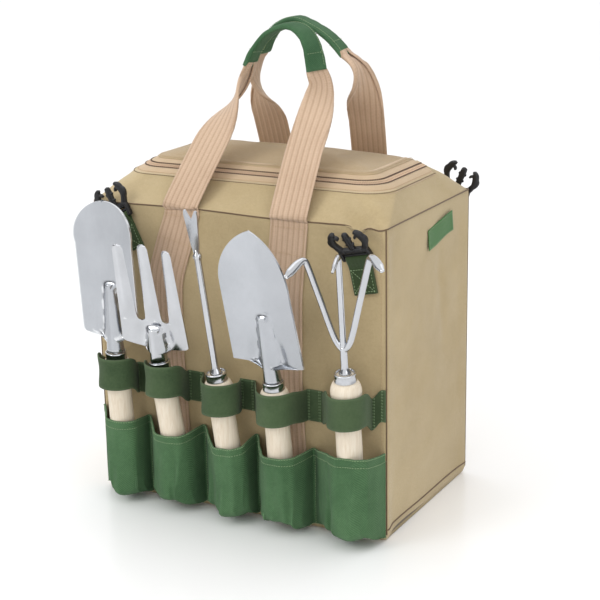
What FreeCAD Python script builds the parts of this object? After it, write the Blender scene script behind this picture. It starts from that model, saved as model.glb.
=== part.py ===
"""Garden tool bag: a zip-topped canvas tote with a row of five hand tools on its front.

Frame: millimetres, +Z up, origin at the middle of the underside of the base.
X runs along the bag's width, -Y is the front with the tools, +Y is the back.
"""

import FreeCAD, Part
import math
import os

V = FreeCAD.Vector
X_AXIS = V(1, 0, 0)
Y_AXIS = V(0, 1, 0)
Z_AXIS = V(0, 0, 1)
CENTRE = V(0, 0, 0)

# Bag body
BODY_W = 330.0
BODY_D = 200.0
BODY_H = 312.0
PANEL = 3.0
BOARD_GAP = 1.0
BOARD_T = 2.5

# Domed top: half width, half depth, front and back corner radius and height of each level
TOP_SEAM = (BODY_W / 2, BODY_D / 2, 2.0, 2.0, BODY_H)
ZIP_OUTER = (148.0, 69.0, 30.0, 12.0, 335.0)
ZIP_INNER = (120.0, 45.0, 16.0, 4.0, 351.0)
CREST = (62.0, 16.0, 6.0, 6.0, 359.0)
CANVAS = 2.5
TAPE = 1.4
TEETH = 3.0

# Zip rows as fractions of the way from the outer seam to the inner seam
TAPE_END = 0.40
TEETH_OUTER_END = 0.48
TEETH_INNER_START = 0.52
TEETH_INNER_END = 0.60
ZIP_END_Y = 50.0
TEETH_END_Y = 34.0
LID_HALF = 126.0
LID_GAP = 0.4

# Slider and pull tab
SLIDER_LENGTH = 12.0
SLIDER_WIDTH = 11.0
SLIDER_PLATE = 1.2
SLIDER_WEB = 1.0
SLIDER_Y = 43.5
PULL_LENGTH = 24.0
PULL_WIDTH = 7.0
PULL_T = 1.6

# Straps and handles
STRAP_W = 40.0
STRAP_T = 2.0
HINGE_Z = 308.0
HANDLE_GAP = 2.0
GRIP_W = 23.0
GRIP_T = 6.0
SEAM_RISE = 6.0
FRONT_LEGS = (
    ((-57.0, HINGE_Z), (-80.0, 240.0), (-81.0, 165.0), (-74.0, 0.0)),
    ((63.0, HINGE_Z), (55.5, 240.0), (54.5, 150.0), (60.0, 0.0)),
)
BACK_LEGS = (
    ((-57.0, HINGE_Z), (-57.0, 0.0)),
    ((52.0, HINGE_Z), (52.0, 0.0)),
)
FRONT_ARCH = ((-25, 444), (-17, 460), (-3, 476), (17, 484), (34, 480), (45, 466), (51, 442))
BACK_ARCH = ((-27, 454), (-18, 470), (-5, 482), (14, 488), (34, 481), (51, 470), (66, 454))
ARCH_DEPTH = (17.0, 15.5, 13.5, 12.5, 13.5, 15.5, 17.0)
FRONT_TURN = 0.45
BACK_TURN = 0.0

# Pockets and loops on the front
FABRIC = 1.6
POCKET_Z = (3.0, 90.0)
POCKET_FRONT_Y = -142.0
POCKET_EDGES = (-164.0, -107.0, -40.0, 22.0, 86.0, 164.0)
POCKET_FRONTS = ((-152.0, -106.0), (-92.0, -43.0), (-24.0, 21.5), (36.0, 82.0), (106.0, 160.0))
LOOP_Z = (109.0, 147.0)
LOOP_SPANS = ((-163.5, -118.0), (-106.0, -56.0), (-40.0, 5.0), (20.0, 80.0), (95.0, 150.0))
LOOP_BAND_END = 163.0
LOOP_CLEARANCE = 5.4

# Tools: name, x of the axis at loop height, sideways lean, height of the butt, twist of the head
TILT = 7.0
TOOL_Y = -117.5
AXIS_Z = 128.0
TOOLS = (
    ("trowel", -120.8, 2.6, 17.7, 2.0),
    ("fork", -64.3, -4.2, 14.7, 6.0),
    ("weeder", 0.4, -3.5, 12.2, -12.0),
    ("transplanter", 62.2, -0.2, 12.2, -3.8),
    ("cultivator", 139.6, 0.7, 32.7, 0.0),
)
HANDLE_R = 12.3
COLLAR_R = 15.0
SHAFT_END = 118.0
COLLAR_Z = 131.0
FERRULE_R = 10.5
FERRULE_BORE_R = 9.0
FERRULE_Z = (142.0, 151.0)
NECK_DEPTH = 2.0
SHEET = 1.8
ROD_R = 3.4
SOCKET_R = 8.9
SOCKET_TIP_R = 4.4
SOCKET_LENGTH = 70.0
BLADE_DEPTH = 3.2

# How each pressed blade is set on its tang: forwards, then to the right
BLADE_SET = {"trowel": (-6.0, -4.8), "fork": (11.6, 8.1), "transplanter": (6.3, -0.7)}

# Prongs: x and height of the bend above the ferrule, then the run of the hook
PRONGS = (
    (-35.0, 110.0, (-5.0, -28.0, -10.0)),
    (0.0, 117.0, (5.0, -22.0, -8.0)),
    (32.5, 121.0, (22.0, -22.0, -5.0)),
)

# Buckles: name, x, height of the bar, front (-1) or back (+1), tilt in the panel's plane, flop outwards
BUCKLES = (
    ("front_left", -130.0, 297.0, -1, -26.0, 0.0),
    ("front_right", 137.0, 284.0, -1, -12.0, 35.0),
    ("back_left", -146.0, 304.0, 1, -12.0, 0.0),
    ("back_right", 145.0, 303.0, 1, 24.0, 0.0),
)
TAB_W = 24.0
TAB_T = 3.2
TAB_LENGTH = 36.0
BAR_R = 1.6
BAR_CLEARANCE = 0.08
BUCKLE_W = 32.0
BUCKLE_T = 6.0
BAR_OFFSET = 3.5

# Side label
LABEL = (60.0, 21.0, 0.8)
LABEL_CENTRE = (23.0, 285.0)
LABEL_TILT = 8.0


def box(x0, x1, y0, y1, z0, z1):
    """A box between two corners."""
    return Part.makeBox(x1 - x0, y1 - y0, z1 - z0, V(x0, y0, z0))


def fuse(shapes):
    """One solid from touching or overlapping ones."""
    whole = shapes[0]
    for shape in shapes[1:]:
        whole = whole.fuse(shape)
    return whole.removeSplitter()


def skin(rings):
    """A closed solid through rings of points, each with the same number of points."""
    faces = []
    for low, high in zip(rings, rings[1:]):
        for i in range(len(low)):
            j = (i + 1) % len(low)
            corners = (low[i], low[j], high[j], high[i])
            normal = (corners[1] - corners[0]).cross(corners[2] - corners[0])
            flat = abs(normal.dot(corners[3] - corners[0])) < 1e-7 * max(normal.Length, 1e-9)
            if flat:
                faces.append(Part.Face(Part.makePolygon(list(corners) + [corners[0]])))
                continue
            for a, b, c in ((0, 1, 2), (0, 2, 3)):
                faces.append(Part.Face(Part.makePolygon([corners[k] for k in (a, b, c, a)])))
    for ring in (rings[0], rings[-1]):
        faces.append(Part.Face(Part.makePolygon(list(ring) + [ring[0]])))
    shell = Part.makeShell(faces)
    shell.sewShape()
    solid = Part.makeSolid(shell)
    if solid.Volume < 0:
        solid.reverse()
    return solid


def rounded_ring(half_x, half_y, front, back, z, steps=4):
    """The points of a rounded rectangle, the same count whatever its size."""
    points = []
    for quarter, (sx, sy) in enumerate(((1, 1), (-1, 1), (-1, -1), (1, -1))):
        radius = back if sy > 0 else front
        centre = V(sx * (half_x - radius), sy * (half_y - radius), z)
        for step in range(steps + 1):
            angle = math.radians(90 * quarter + 90 * step / steps)
            points.append(centre + V(radius * math.cos(angle), radius * math.sin(angle), 0))
    return points


def prism(level, low=300.0, high=370.0):
    """An upright block on one level's outline."""
    return skin([rounded_ring(*level[:-1], z) for z in (low, high)])


def zip_level(part_way):
    """The outline part of the way from the outer zip seam to the inner one."""
    return tuple(a + (b - a) * part_way for a, b in zip(ZIP_OUTER, ZIP_INNER))


def dome(drop):
    """The solid under the bag's domed top, lowered by some drop."""
    levels = (TOP_SEAM, ZIP_OUTER, ZIP_INNER, CREST)
    return skin([rounded_ring(*level[:-1], level[-1] - drop) for level in levels])


def dome_shell(top, thickness):
    """A layer of the domed top, whose upper face lies some way below the dome."""
    return dome(top).cut(dome(top + thickness))


def zip_row(start, end, top, thickness):
    """One row of the zip, which runs round the front and both sides."""
    ring = prism(zip_level(start)).cut(prism(zip_level(end)))
    return dome_shell(top, thickness).common(ring)


def back_half(y):
    """Everything behind some y."""
    return box(-200, 200, y, 200, 280, 400)


def bag_panels():
    """The five canvas panels of the box and the stiff board inside its base."""
    w, d = BODY_W / 2, BODY_D / 2
    board = BOARD_GAP + PANEL
    return {
        "front_panel": box(-w, w, -d, -d + PANEL, 0, BODY_H),
        "back_panel": box(-w, w, d - PANEL, d, 0, BODY_H),
        "left_side_panel": box(-w, -w + PANEL, -d + PANEL, d - PANEL, 0, BODY_H),
        "right_side_panel": box(w - PANEL, w, -d + PANEL, d - PANEL, 0, BODY_H),
        "bottom_panel": box(-w + PANEL, w - PANEL, -d + PANEL, d - PANEL, 0, PANEL),
        "base_board": box(-w + board, w - board, -d + board, d - board, PANEL, PANEL + BOARD_T),
    }


def domed_top():
    """The sloping frame, the zip's four rows and the lid panel they carry."""
    shell = dome_shell(0, CANVAS)
    corners = shell.common(prism(ZIP_OUTER)).common(back_half(ZIP_END_Y))
    opening = box(-LID_HALF, LID_HALF, 0, ZIP_OUTER[1], 300, 370)
    frame = shell.cut(prism(ZIP_OUTER)).fuse(corners).cut(opening).removeSplitter()
    front_end = ZIP_OUTER[2] - ZIP_OUTER[1]
    hinge_strip = box(-LID_HALF + LID_GAP, LID_HALF - LID_GAP, 0, ZIP_OUTER[1] - LID_GAP, 300, 370)
    lid_zone = prism(ZIP_INNER).fuse(hinge_strip.common(back_half(TEETH_END_Y + LID_GAP)))
    return {
        "top_frame_front": frame.common(box(-200, 200, -200, front_end, 280, 400)),
        "top_frame_left": frame.common(box(-200, 0, front_end, ZIP_END_Y, 280, 400)),
        "top_frame_right": frame.common(box(0, 200, front_end, ZIP_END_Y, 280, 400)),
        "top_frame_back": frame.common(back_half(ZIP_END_Y)),
        "zip_tape_outer": zip_row(0, TAPE_END, 0.4, TAPE).cut(back_half(ZIP_END_Y)),
        "zip_teeth_outer": zip_row(TAPE_END, TEETH_OUTER_END, 0, TEETH).cut(back_half(ZIP_END_Y)),
        "zip_teeth_inner": zip_row(TEETH_INNER_START, TEETH_INNER_END, 0, TEETH).cut(
            back_half(TEETH_END_Y)
        ),
        "zip_tape_inner": zip_row(TEETH_INNER_END, 1, 0.4, TAPE).cut(back_half(TEETH_END_Y)),
        "lid_panel": shell.common(lid_zone).removeSplitter(),
    }


def zip_slope():
    """How steeply the zip rises inwards on the bag's two sides, in degrees."""
    return math.degrees(math.atan2(ZIP_INNER[-1] - ZIP_OUTER[-1], ZIP_OUTER[0] - ZIP_INNER[0]))


def on_left_zip(shape, y):
    """A shape made flat about the middle of the teeth, placed on the zip's left run."""
    middle = zip_level((TEETH_OUTER_END + TEETH_INNER_START) / 2)
    shape.rotate(CENTRE, Y_AXIS, -zip_slope())
    shape.translate(V(-middle[0], y, middle[-1] - TEETH / 2))
    return shape


def zip_pieces():
    """The slider, a plate above and a plate below the teeth on a thin web, and its pull tab."""
    half_l, half_w = SLIDER_LENGTH / 2, SLIDER_WIDTH / 2
    clear = TEETH / 2 + 0.35
    eye_z = clear + SLIDER_PLATE + 1.6
    top = box(-half_w, half_w, -half_l, half_l, clear, clear + SLIDER_PLATE)
    bottom = box(-half_w, half_w, -half_l, half_l, -clear - SLIDER_PLATE, -clear)
    lug = box(-1.6, 1.6, -3.4, 3.4, clear, eye_z + 1.6)
    eye = Part.makeCylinder(0.95, 10, V(-5, 0, eye_z), X_AXIS)
    web = box(-SLIDER_WEB / 2, SLIDER_WEB / 2, -half_l, half_l, -clear, clear)
    web.rotate(CENTRE, Y_AXIS, zip_slope())
    slider = on_left_zip(fuse([top, bottom, lug, web]).cut(eye), SLIDER_Y)
    half = PULL_WIDTH / 2
    pin = Part.makeCylinder(0.9, PULL_WIDTH - 2, V(-half + 1, 0, eye_z), X_AXIS)
    blade = box(-half, half, -PULL_LENGTH, 1.0, eye_z - PULL_T / 2, eye_z + PULL_T / 2)
    window = box(-2.0, 2.0, -5.0, 2.0, eye_z - 2, eye_z + 2)
    return {
        "zip_slider": slider,
        "zip_pull": on_left_zip(fuse([blade.cut(window), pin]), SLIDER_Y),
    }


def wrap(x0, x1, circles):
    """A flat face round two points on the panel and the circles that the cloth goes round.

    Each circle is (x, y, radius). The outline is the tight string round them all.
    """
    y = -BODY_D / 2
    rounds = [(x0, y, 0.0)] + list(circles) + [(x1, y, 0.0)]
    edges = []
    ends = []
    for (ax, ay, ar), (bx, by, br) in zip(rounds, rounds[1:]):
        length = math.hypot(bx - ax, by - ay)
        ux, uy = (bx - ax) / length, (by - ay) / length
        sine = (ar - br) / length
        cosine = math.sqrt(1 - sine * sine)
        nx, ny = uy * cosine + ux * sine, -ux * cosine + uy * sine
        start = V(ax + ar * nx, ay + ar * ny, 0)
        end = V(bx + br * nx, by + br * ny, 0)
        edges.append(Part.LineSegment(start, end).toShape())
        ends.append((start, end))
    for (cx, cy, cr), before, after in zip(circles, ends, ends[1:]):
        middle = (before[1] - V(cx, cy, 0)) + (after[0] - V(cx, cy, 0))
        top = V(cx, cy, 0) + middle * (cr / middle.Length)
        edges.append(Part.Arc(before[1], top, after[0]).toShape())
    edges.append(Part.LineSegment(ends[-1][1], ends[0][0]).toShape())
    return Part.Face(Part.Wire(Part.__sortEdges__(edges)))


def bulge(x0, x1, circles, z0, z1, floor=0.0):
    """An upright wall of cloth that stands off the panel round some circles."""
    tall = V(0, 0, z1 - z0)
    foot = FABRIC * 1.3
    outer = wrap(x0, x1, [(x, y, r + FABRIC) for x, y, r in circles]).extrude(tall)
    inner = wrap(x0 + foot, x1 - foot, circles).extrude(tall)
    inner.translate(V(0, 0, floor))
    outer = outer.cut(inner)
    outer.translate(V(0, 0, z0))
    return outer


def pockets():
    """The gathered strip of five pockets, each with the seam at its left; the last has both."""
    radius = 11.0
    overlap = 0.4
    y = POCKET_FRONT_Y + FABRIC + radius
    panel = -BODY_D / 2
    low, high = POCKET_Z
    seams = [box(x - FABRIC, x + FABRIC, panel - FABRIC, panel, low, high) for x in POCKET_EDGES]
    pieces = {}
    for i, (tool, (front_left, front_right)) in enumerate(zip(TOOLS, POCKET_FRONTS)):
        left, right = POCKET_EDGES[i] + overlap, POCKET_EDGES[i + 1] - overlap
        circles = [(front_left + radius, y, radius), (front_right - radius, y, radius)]
        own = seams[i:] if i == len(TOOLS) - 1 else seams[i:i + 1]
        pocket = bulge(left, right, circles, low, high, FABRIC)
        if len(own) == 1:
            pocket = pocket.cut(seams[i + 1])
        pieces["pocket_" + tool[0]] = fuse(own + [pocket])
    return pieces


def tool_axis(tool):
    """A point on a tool's axis at loop height, and the direction of the axis."""
    x, lean = tool[1:3]
    tilt, side = math.radians(TILT), math.radians(lean)
    along = V(math.sin(side) * math.cos(tilt), -math.sin(tilt), math.cos(side) * math.cos(tilt))
    y = TOOL_Y - (AXIS_Z - 8.0) * math.tan(tilt)
    return V(x, y, AXIS_Z), along


def loops():
    """The band that holds the handles: each loop with the flat stitched stretch at its right."""
    panel = -BODY_D / 2
    overlap = 0.5
    low, high = LOOP_Z
    flat_ends = [span[0] for span in LOOP_SPANS[1:]] + [LOOP_BAND_END]
    pieces = {}
    for (x0, x1), flat_end, tool in zip(LOOP_SPANS, flat_ends, TOOLS):
        middle = tool_axis(tool)[0]
        circle = (middle.x, middle.y, HANDLE_R + LOOP_CLEARANCE)
        loop = bulge(x0, x1 + overlap, [circle], low, high)
        flat = box(x1, flat_end, panel - FABRIC, panel, low, high)
        pieces["loop_" + tool[0]] = fuse([loop, flat])
    return pieces


def ribbon(stations):
    """A flat band through stations of (centre, width direction, face direction, width, thickness)."""
    rings = []
    for centre, across, face, width, thickness in stations:
        a = across.normalize() * (width / 2)
        f = face.normalize() * (thickness / 2)
        rings.append([centre - a - f, centre + a - f, centre + a + f, centre - a + f])
    return skin(rings)


def at_height(leg, z):
    """The x of a strap leg's middle at some height."""
    for (x1, z1), (x0, z0) in zip(leg, leg[1:]):
        if z0 <= z <= z1:
            return x0 + (x1 - x0) * (z - z0) / (z1 - z0)
    return leg[-1][0]


def sewn_strap(side, legs, low):
    """The two legs of webbing that are stitched flat on one panel."""
    y = side * (BODY_D / 2 + STRAP_T / 2)
    dx, dy = V(STRAP_W / 2, 0, 0), V(0, STRAP_T / 2, 0)
    high = HINGE_Z - HANDLE_GAP
    shapes = []
    for leg in legs:
        heights = [high] + [z for x, z in leg[1:-1]] + [low]
        middles = [V(at_height(leg, z), y, z) for z in heights]
        rings = [[m - dx - dy, m + dx - dy, m + dx + dy, m - dx + dy] for m in middles]
        shapes.append(skin(rings))
    return Part.makeCompound(shapes)


def grip_stations(side, points, turn):
    """Sections along the arch of a grip: flat on top, and turned outwards towards its right end."""
    arch = [V(x, side * y, z) for (x, z), y in zip(points, ARCH_DEPTH)]
    last = len(arch) - 1
    stations = []
    for i, centre in enumerate(arch):
        along = (arch[min(i + 1, last)] - arch[max(i - 1, 0)]).normalize()
        across = V(0, 1, 0) + V(turn, 0, turn) * max(0.0, 2.0 * i / last - 1)
        across = (across - along * across.dot(along)).normalize()
        stations.append((centre, across, along.cross(across), GRIP_W, GRIP_T))
    return stations


def handle(side, legs, points, turn):
    """One carrying handle: the sewn grip sleeve, and the two legs of free webbing below it.

    points are (x, z) along the arch of the grip, from left to right.
    """
    stations = grip_stations(side, points, turn)
    level = V(1, 0, 0)
    webbing = []
    for leg, here, beyond in ((legs[0], 0, 1), (legs[1], -1, -2)):
        centre, across, face = stations[here][:3]
        inward = (stations[beyond][0] - centre).normalize()
        top = centre - inward * 0.4
        foot = V(leg[0][0], side * (BODY_D + STRAP_T) / 2, HINGE_Z)
        seam = foot + V(0, 0, SEAM_RISE)
        middle = seam + (top - seam) * 0.7
        lean = level.cross(middle - seam)
        turned = -1 if here == 0 else 1
        webbing.append(ribbon([
            (foot, level, V(0, -1, 0), STRAP_W, STRAP_T),
            (seam, level, V(0, -1, 0), STRAP_W, STRAP_T),
            (middle, level, lean, STRAP_W * 0.88, STRAP_T * 1.3),
            (top, across * turned, face * turned, GRIP_W - 2, STRAP_T * 2.4),
        ]))
    return ribbon(stations), Part.makeCompound(webbing)


def wooden_handle():
    """A turned handle: rounded butt, plain shaft, swollen collar and a neck inside the ferrule."""
    r, neck, shoulder = HANDLE_R, FERRULE_BORE_R - 0.05, FERRULE_R + 1
    start, end = FERRULE_Z
    butt = 5.0
    bulge_x = r - butt * (1 - math.sqrt(0.5))
    bulge_z = butt * (1 - math.sqrt(0.5))
    top = end - NECK_DEPTH
    edges = [
        Part.LineSegment(V(0, 0, 0), V(r - butt, 0, 0)).toShape(),
        Part.Arc(V(r - butt, 0, 0), V(bulge_x, 0, bulge_z), V(r, 0, butt)).toShape(),
        Part.LineSegment(V(r, 0, butt), V(r, 0, SHAFT_END)).toShape(),
        Part.Arc(V(r, 0, SHAFT_END), V(COLLAR_R, 0, COLLAR_Z), V(shoulder, 0, start)).toShape(),
        Part.LineSegment(V(shoulder, 0, start), V(neck, 0, start)).toShape(),
        Part.LineSegment(V(neck, 0, start), V(neck, 0, top)).toShape(),
        Part.LineSegment(V(neck, 0, top), V(0, 0, top)).toShape(),
        Part.LineSegment(V(0, 0, top), V(0, 0, 0)).toShape(),
    ]
    return Part.Face(Part.Wire(edges)).revolve(CENTRE, Z_AXIS, 360)


def ferrule():
    """The bright ring round the top of a handle."""
    start, end = FERRULE_Z
    outer = Part.makeCylinder(FERRULE_R, end - start, V(0, 0, start))
    return outer.cut(Part.makeCylinder(FERRULE_BORE_R, end - start + 2, V(0, 0, start - 1)))


def tang():
    """The round root of a head, which stands in the end of the handle."""
    depth = 32.0
    return Part.makeCylinder(ROD_R, depth + 6, V(0, 0, FERRULE_Z[1] - depth))


def outline_face(start, *steps):
    """A closed face in XZ: each step is the end of a line, or the middle and end of an arc."""
    edges = []
    here = V(start[0], 0, start[1])
    for step in steps:
        end = V(step[-2], 0, step[-1])
        if len(step) == 4:
            edges.append(Part.Arc(here, V(step[0], 0, step[1]), end).toShape())
        else:
            edges.append(Part.LineSegment(here, end).toShape())
        here = end
    return Part.Face(Part.Wire(edges))


def bent_sheet(outline, bend):
    """A sheet bent about a line in front of the tool's axis and cut to an outline in XZ."""
    low, high = outline.BoundBox.ZMin - 1, outline.BoundBox.ZMax + 1
    centre = V(0, BLADE_DEPTH - bend, low)
    outer = Part.makeCylinder(bend, high - low, centre)
    inner = Part.makeCylinder(bend - SHEET, high - low, centre)
    cutter = outline.extrude(V(0, 2 * bend, 0))
    cutter.translate(V(0, BLADE_DEPTH - bend, 0))
    return outer.cut(inner).common(cutter)


def socket():
    """The hollow cone that is pressed into a blade and closes over its tang."""
    start = FERRULE_Z[1] + 0.2
    outer = Part.makeCone(SOCKET_R, SOCKET_TIP_R, SOCKET_LENGTH, V(0, 0, start))
    inner = Part.makeCone(SOCKET_R - SHEET, SOCKET_TIP_R - 0.8, SOCKET_LENGTH - 4, V(0, 0, start - 1))
    plug = Part.makeCylinder(SOCKET_R - SHEET / 2, 3, V(0, 0, start))
    return fuse([outer.cut(inner), plug])


def on_tang(name, blade):
    """A blade with its socket, set at its angle and joined to a straight tang."""
    forwards, right = BLADE_SET[name]
    root = V(0, 0, FERRULE_Z[1])
    blade.rotate(root, X_AXIS, forwards)
    blade.rotate(root, Y_AXIS, right)
    above = box(-90, 90, -90, 90, FERRULE_Z[1] + 0.2, 400)
    return fuse([blade.common(above), tang()])


def trowel_head():
    """A broad blade with a rounded tip, on a conical socket."""
    foot = FERRULE_Z[1] + 20
    top = FERRULE_Z[1] + 154
    half = 33
    blade = outline_face(
        (-6, foot - 8), (-20, foot - 4, -half + 2, foot), (-half, foot + 4), (-half, top - 42),
        (-24, top - 10, 0, top), (24, top - 10, half, top - 42), (half, foot + 4),
        (half - 2, foot), (20, foot - 4, 6, foot - 8), (-6, foot - 8),
    )
    return on_tang("trowel", fuse([bent_sheet(blade, 95.0), socket()]))


def transplanter_head():
    """A tapering blade with a pointed tip and one flared corner, on a conical socket."""
    foot = FERRULE_Z[1] + 21
    top = FERRULE_Z[1] + 158
    half = 39
    blade = outline_face(
        (-8, foot - 4), (-half, foot), (-half, top - 56), (-28, top - 20, 0, top),
        (25, top - 22, half - 3, top - 62), (half + 1, foot - 9), (24, foot - 1, 8, foot - 4),
        (-8, foot - 4),
    )
    return on_tang("transplanter", fuse([bent_sheet(blade, 150.0), socket()]))


def fork_head():
    """A fork pressed from one sheet, with three round-ended tines, on a conical socket."""
    foot = FERRULE_Z[1] + 20
    slot = FERRULE_Z[1] + 46
    top = FERRULE_Z[1] + 134
    blade = outline_face(
        (-6, foot - 7), (-20, foot - 4, -33, foot), (-36, foot + 3), (-31, top - 6),
        (-26, top, -21, top - 6), (-16.5, slot + 6), (-13, slot, -9.5, slot + 6), (-5, top - 4),
        (0, top + 2, 5, top - 4), (9.5, slot + 6), (13, slot, 16.5, slot + 6), (21, top - 6),
        (26, top, 31, top - 6), (36, foot + 3), (33, foot), (20, foot - 4, 6, foot - 7),
        (-6, foot - 7),
    )
    cone = socket().common(box(-20, 20, -20, 20, FERRULE_Z[1], slot - 6))
    return on_tang("fork", fuse([bent_sheet(blade, 170.0), cone]))


def weeder_head():
    """A straight rod that widens to a flat forked tip."""
    start = FERRULE_Z[1]
    neck = start + 126
    top = start + 166
    rod = Part.makeCylinder(ROD_R, 160, V(0, 0, start - 32))
    collar = Part.makeCone(ROD_R + 3, ROD_R, 7, V(0, 0, start - NECK_DEPTH))
    blade = outline_face(
        (-4, neck), (-9, top - 3), (-6.5, top), (0, top - 8), (6.5, top), (9, top - 3), (4, neck),
        (-4, neck),
    )
    tip = blade.extrude(V(0, 3, 0))
    tip.translate(V(0, -1.5, 0))
    return fuse([rod, collar, tip])


def bar(a, b, radius):
    """A round bar from one point to another, with a rounded far end."""
    return fuse([Part.makeCylinder(radius, (b - a).Length, a, b - a), Part.makeSphere(radius, b)])


def cultivator_head():
    """Three prongs that spread from one stem and end in hooks."""
    start = FERRULE_Z[1]
    root = V(0, 0, start + 22)
    stem = Part.makeCylinder(ROD_R, 64, V(0, 0, start - 32))
    collar = Part.makeCone(ROD_R + 3, ROD_R, 7, V(0, 0, start - NECK_DEPTH))
    pieces = [stem, collar]
    for x, height, hook in PRONGS:
        shoulder = root + V(x / 4, 0, 12)
        bend = V(x, 0, start + height)
        pieces.append(bar(root, shoulder, ROD_R - 0.2))
        pieces.append(bar(shoulder, bend, ROD_R - 0.2))
        pieces.append(bar(bend, bend + V(*hook), ROD_R - 0.4))
    return fuse(pieces)


HEADS = {
    "trowel": trowel_head,
    "fork": fork_head,
    "weeder": weeder_head,
    "transplanter": transplanter_head,
    "cultivator": cultivator_head,
}


def place_tool(shape, tool):
    """A shape made upright about the tool's own axis, moved to its place in the bag."""
    butt, twist = tool[3:]
    middle, along = tool_axis(tool)
    foot = middle + along * ((butt - AXIS_Z) / along.z)
    shape.rotate(CENTRE, Z_AXIS, twist)
    lean = FreeCAD.Placement(foot, FreeCAD.Rotation(Z_AXIS, along))
    shape.Placement = lean.multiply(shape.Placement)
    return shape


def tools():
    """The handle, ferrule and head of each of the five tools."""
    pieces = {}
    for tool in TOOLS:
        name = tool[0]
        head = HEADS[name]()
        pieces[name + "_handle"] = place_tool(wooden_handle().cut(head), tool)
        pieces[name + "_ferrule"] = place_tool(ferrule(), tool)
        pieces[name + "_head"] = place_tool(head, tool)
    return pieces


def buckle_half():
    """The pronged half of a side-release buckle, its bar along X through the origin."""
    half_t = BUCKLE_T / 2
    inner = TAB_W / 2 + 0.6
    outer = BUCKLE_W / 2
    bar = Part.makeCylinder(BAR_R, 2 * outer - 2, V(-outer + 1, 0, 0), X_AXIS)
    pieces = [bar]
    for side in (-1, 1):
        x0, x1 = sorted((side * inner, side * outer))
        pieces.append(Part.makeCylinder(half_t, x1 - x0, V(x0, 0, 0), X_AXIS))
        pieces.append(box(x0, x1, -half_t, half_t, 0, 11))
        arm = outline_face(
            (side * 9, 10), (side * 16, 10), (side * 19.5, 19, side * 17, 28),
            (side * 12, 34), (side * 10, 31), (side * 13, 25), (side * 13.5, 20, side * 9, 13),
            (side * 9, 10),
        ).extrude(V(0, BUCKLE_T - 1, 0))
        arm.translate(V(0, -half_t + 0.5, 0))
        pieces.append(arm)
    pieces.append(box(-outer, outer, -half_t, half_t, 7, 13))
    pieces.append(box(-3, 3, -half_t + 0.8, half_t - 0.8, 12, 33))
    return fuse(pieces)


def buckle_tab():
    """Folded webbing sewn to the panel, with a loop round the buckle's bar at the origin."""
    bore = BAR_R + BAR_CLEARANCE
    half = TAB_W / 2
    loop = Part.makeCylinder(BAR_OFFSET - 0.05, TAB_W, V(-half, 0, 0), X_AXIS)
    flat = box(-half, half, BAR_OFFSET - TAB_T, BAR_OFFSET, -TAB_LENGTH, 0)
    hole = Part.makeCylinder(bore, TAB_W + 2, V(-half - 1, 0, 0), X_AXIS)
    return fuse([loop, flat]).cut(hole)


def place_on_panel(shape, buckle, flop=0.0):
    """A shape made about the bar, moved to its place on the front or back panel."""
    x, z, side, tilt = buckle[1:5]
    shape.rotate(CENTRE, X_AXIS, flop)
    if side > 0:
        shape.rotate(CENTRE, Z_AXIS, 180)
    shape.rotate(CENTRE, Y_AXIS, tilt)
    shape.translate(V(x, side * (BODY_D / 2 + BAR_OFFSET), z))
    return shape


def buckles():
    """The four buckle halves and their tabs."""
    pieces = {}
    for buckle in BUCKLES:
        pieces["buckle_" + buckle[0]] = place_on_panel(buckle_half(), buckle, buckle[5])
        pieces["buckle_tab_" + buckle[0]] = place_on_panel(buckle_tab(), buckle)
    return pieces


def side_label():
    """The plain sewn label on the right side panel."""
    width, height, thickness = LABEL
    patch = box(0, thickness, -width / 2, width / 2, -height / 2, height / 2)
    patch.rotate(CENTRE, X_AXIS, LABEL_TILT)
    patch.translate(V(BODY_W / 2, LABEL_CENTRE[0], LABEL_CENTRE[1]))
    return patch


def all_pieces():
    """Every node of the bag."""
    pieces = {}
    pieces.update(bag_panels())
    pieces.update(domed_top())
    pieces.update(zip_pieces())
    pieces.update(pockets())
    pieces.update(loops())
    pieces["front_strap_sewn"] = sewn_strap(-1, FRONT_LEGS, POCKET_Z[0] + FABRIC)
    pieces["back_strap_sewn"] = sewn_strap(1, BACK_LEGS, POCKET_Z[0])
    pieces["front_handle_grip"], pieces["front_handle_webbing"] = handle(
        -1, FRONT_LEGS, FRONT_ARCH, FRONT_TURN
    )
    pieces["back_handle_grip"], pieces["back_handle_webbing"] = handle(
        1, BACK_LEGS, BACK_ARCH, BACK_TURN
    )
    pieces.update(buckles())
    pieces["side_label"] = side_label()
    pieces.update(tools())
    return pieces


os.makedirs("parts", exist_ok=True)
for node, shape in all_pieces().items():
    print(f"{node:26s} solids {len(shape.Solids)} valid {shape.isValid()} cm3 {shape.Volume / 1000:.2f}")
    shape.exportStep(f"parts/{node}.step")
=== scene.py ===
"""Garden tool bag: the looks of the canvas tote, its handles, pockets, buckles and five tools."""

import math

import bmesh
import bpy
import numpy as np
from mathutils import Matrix, Quaternion, Vector


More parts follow.
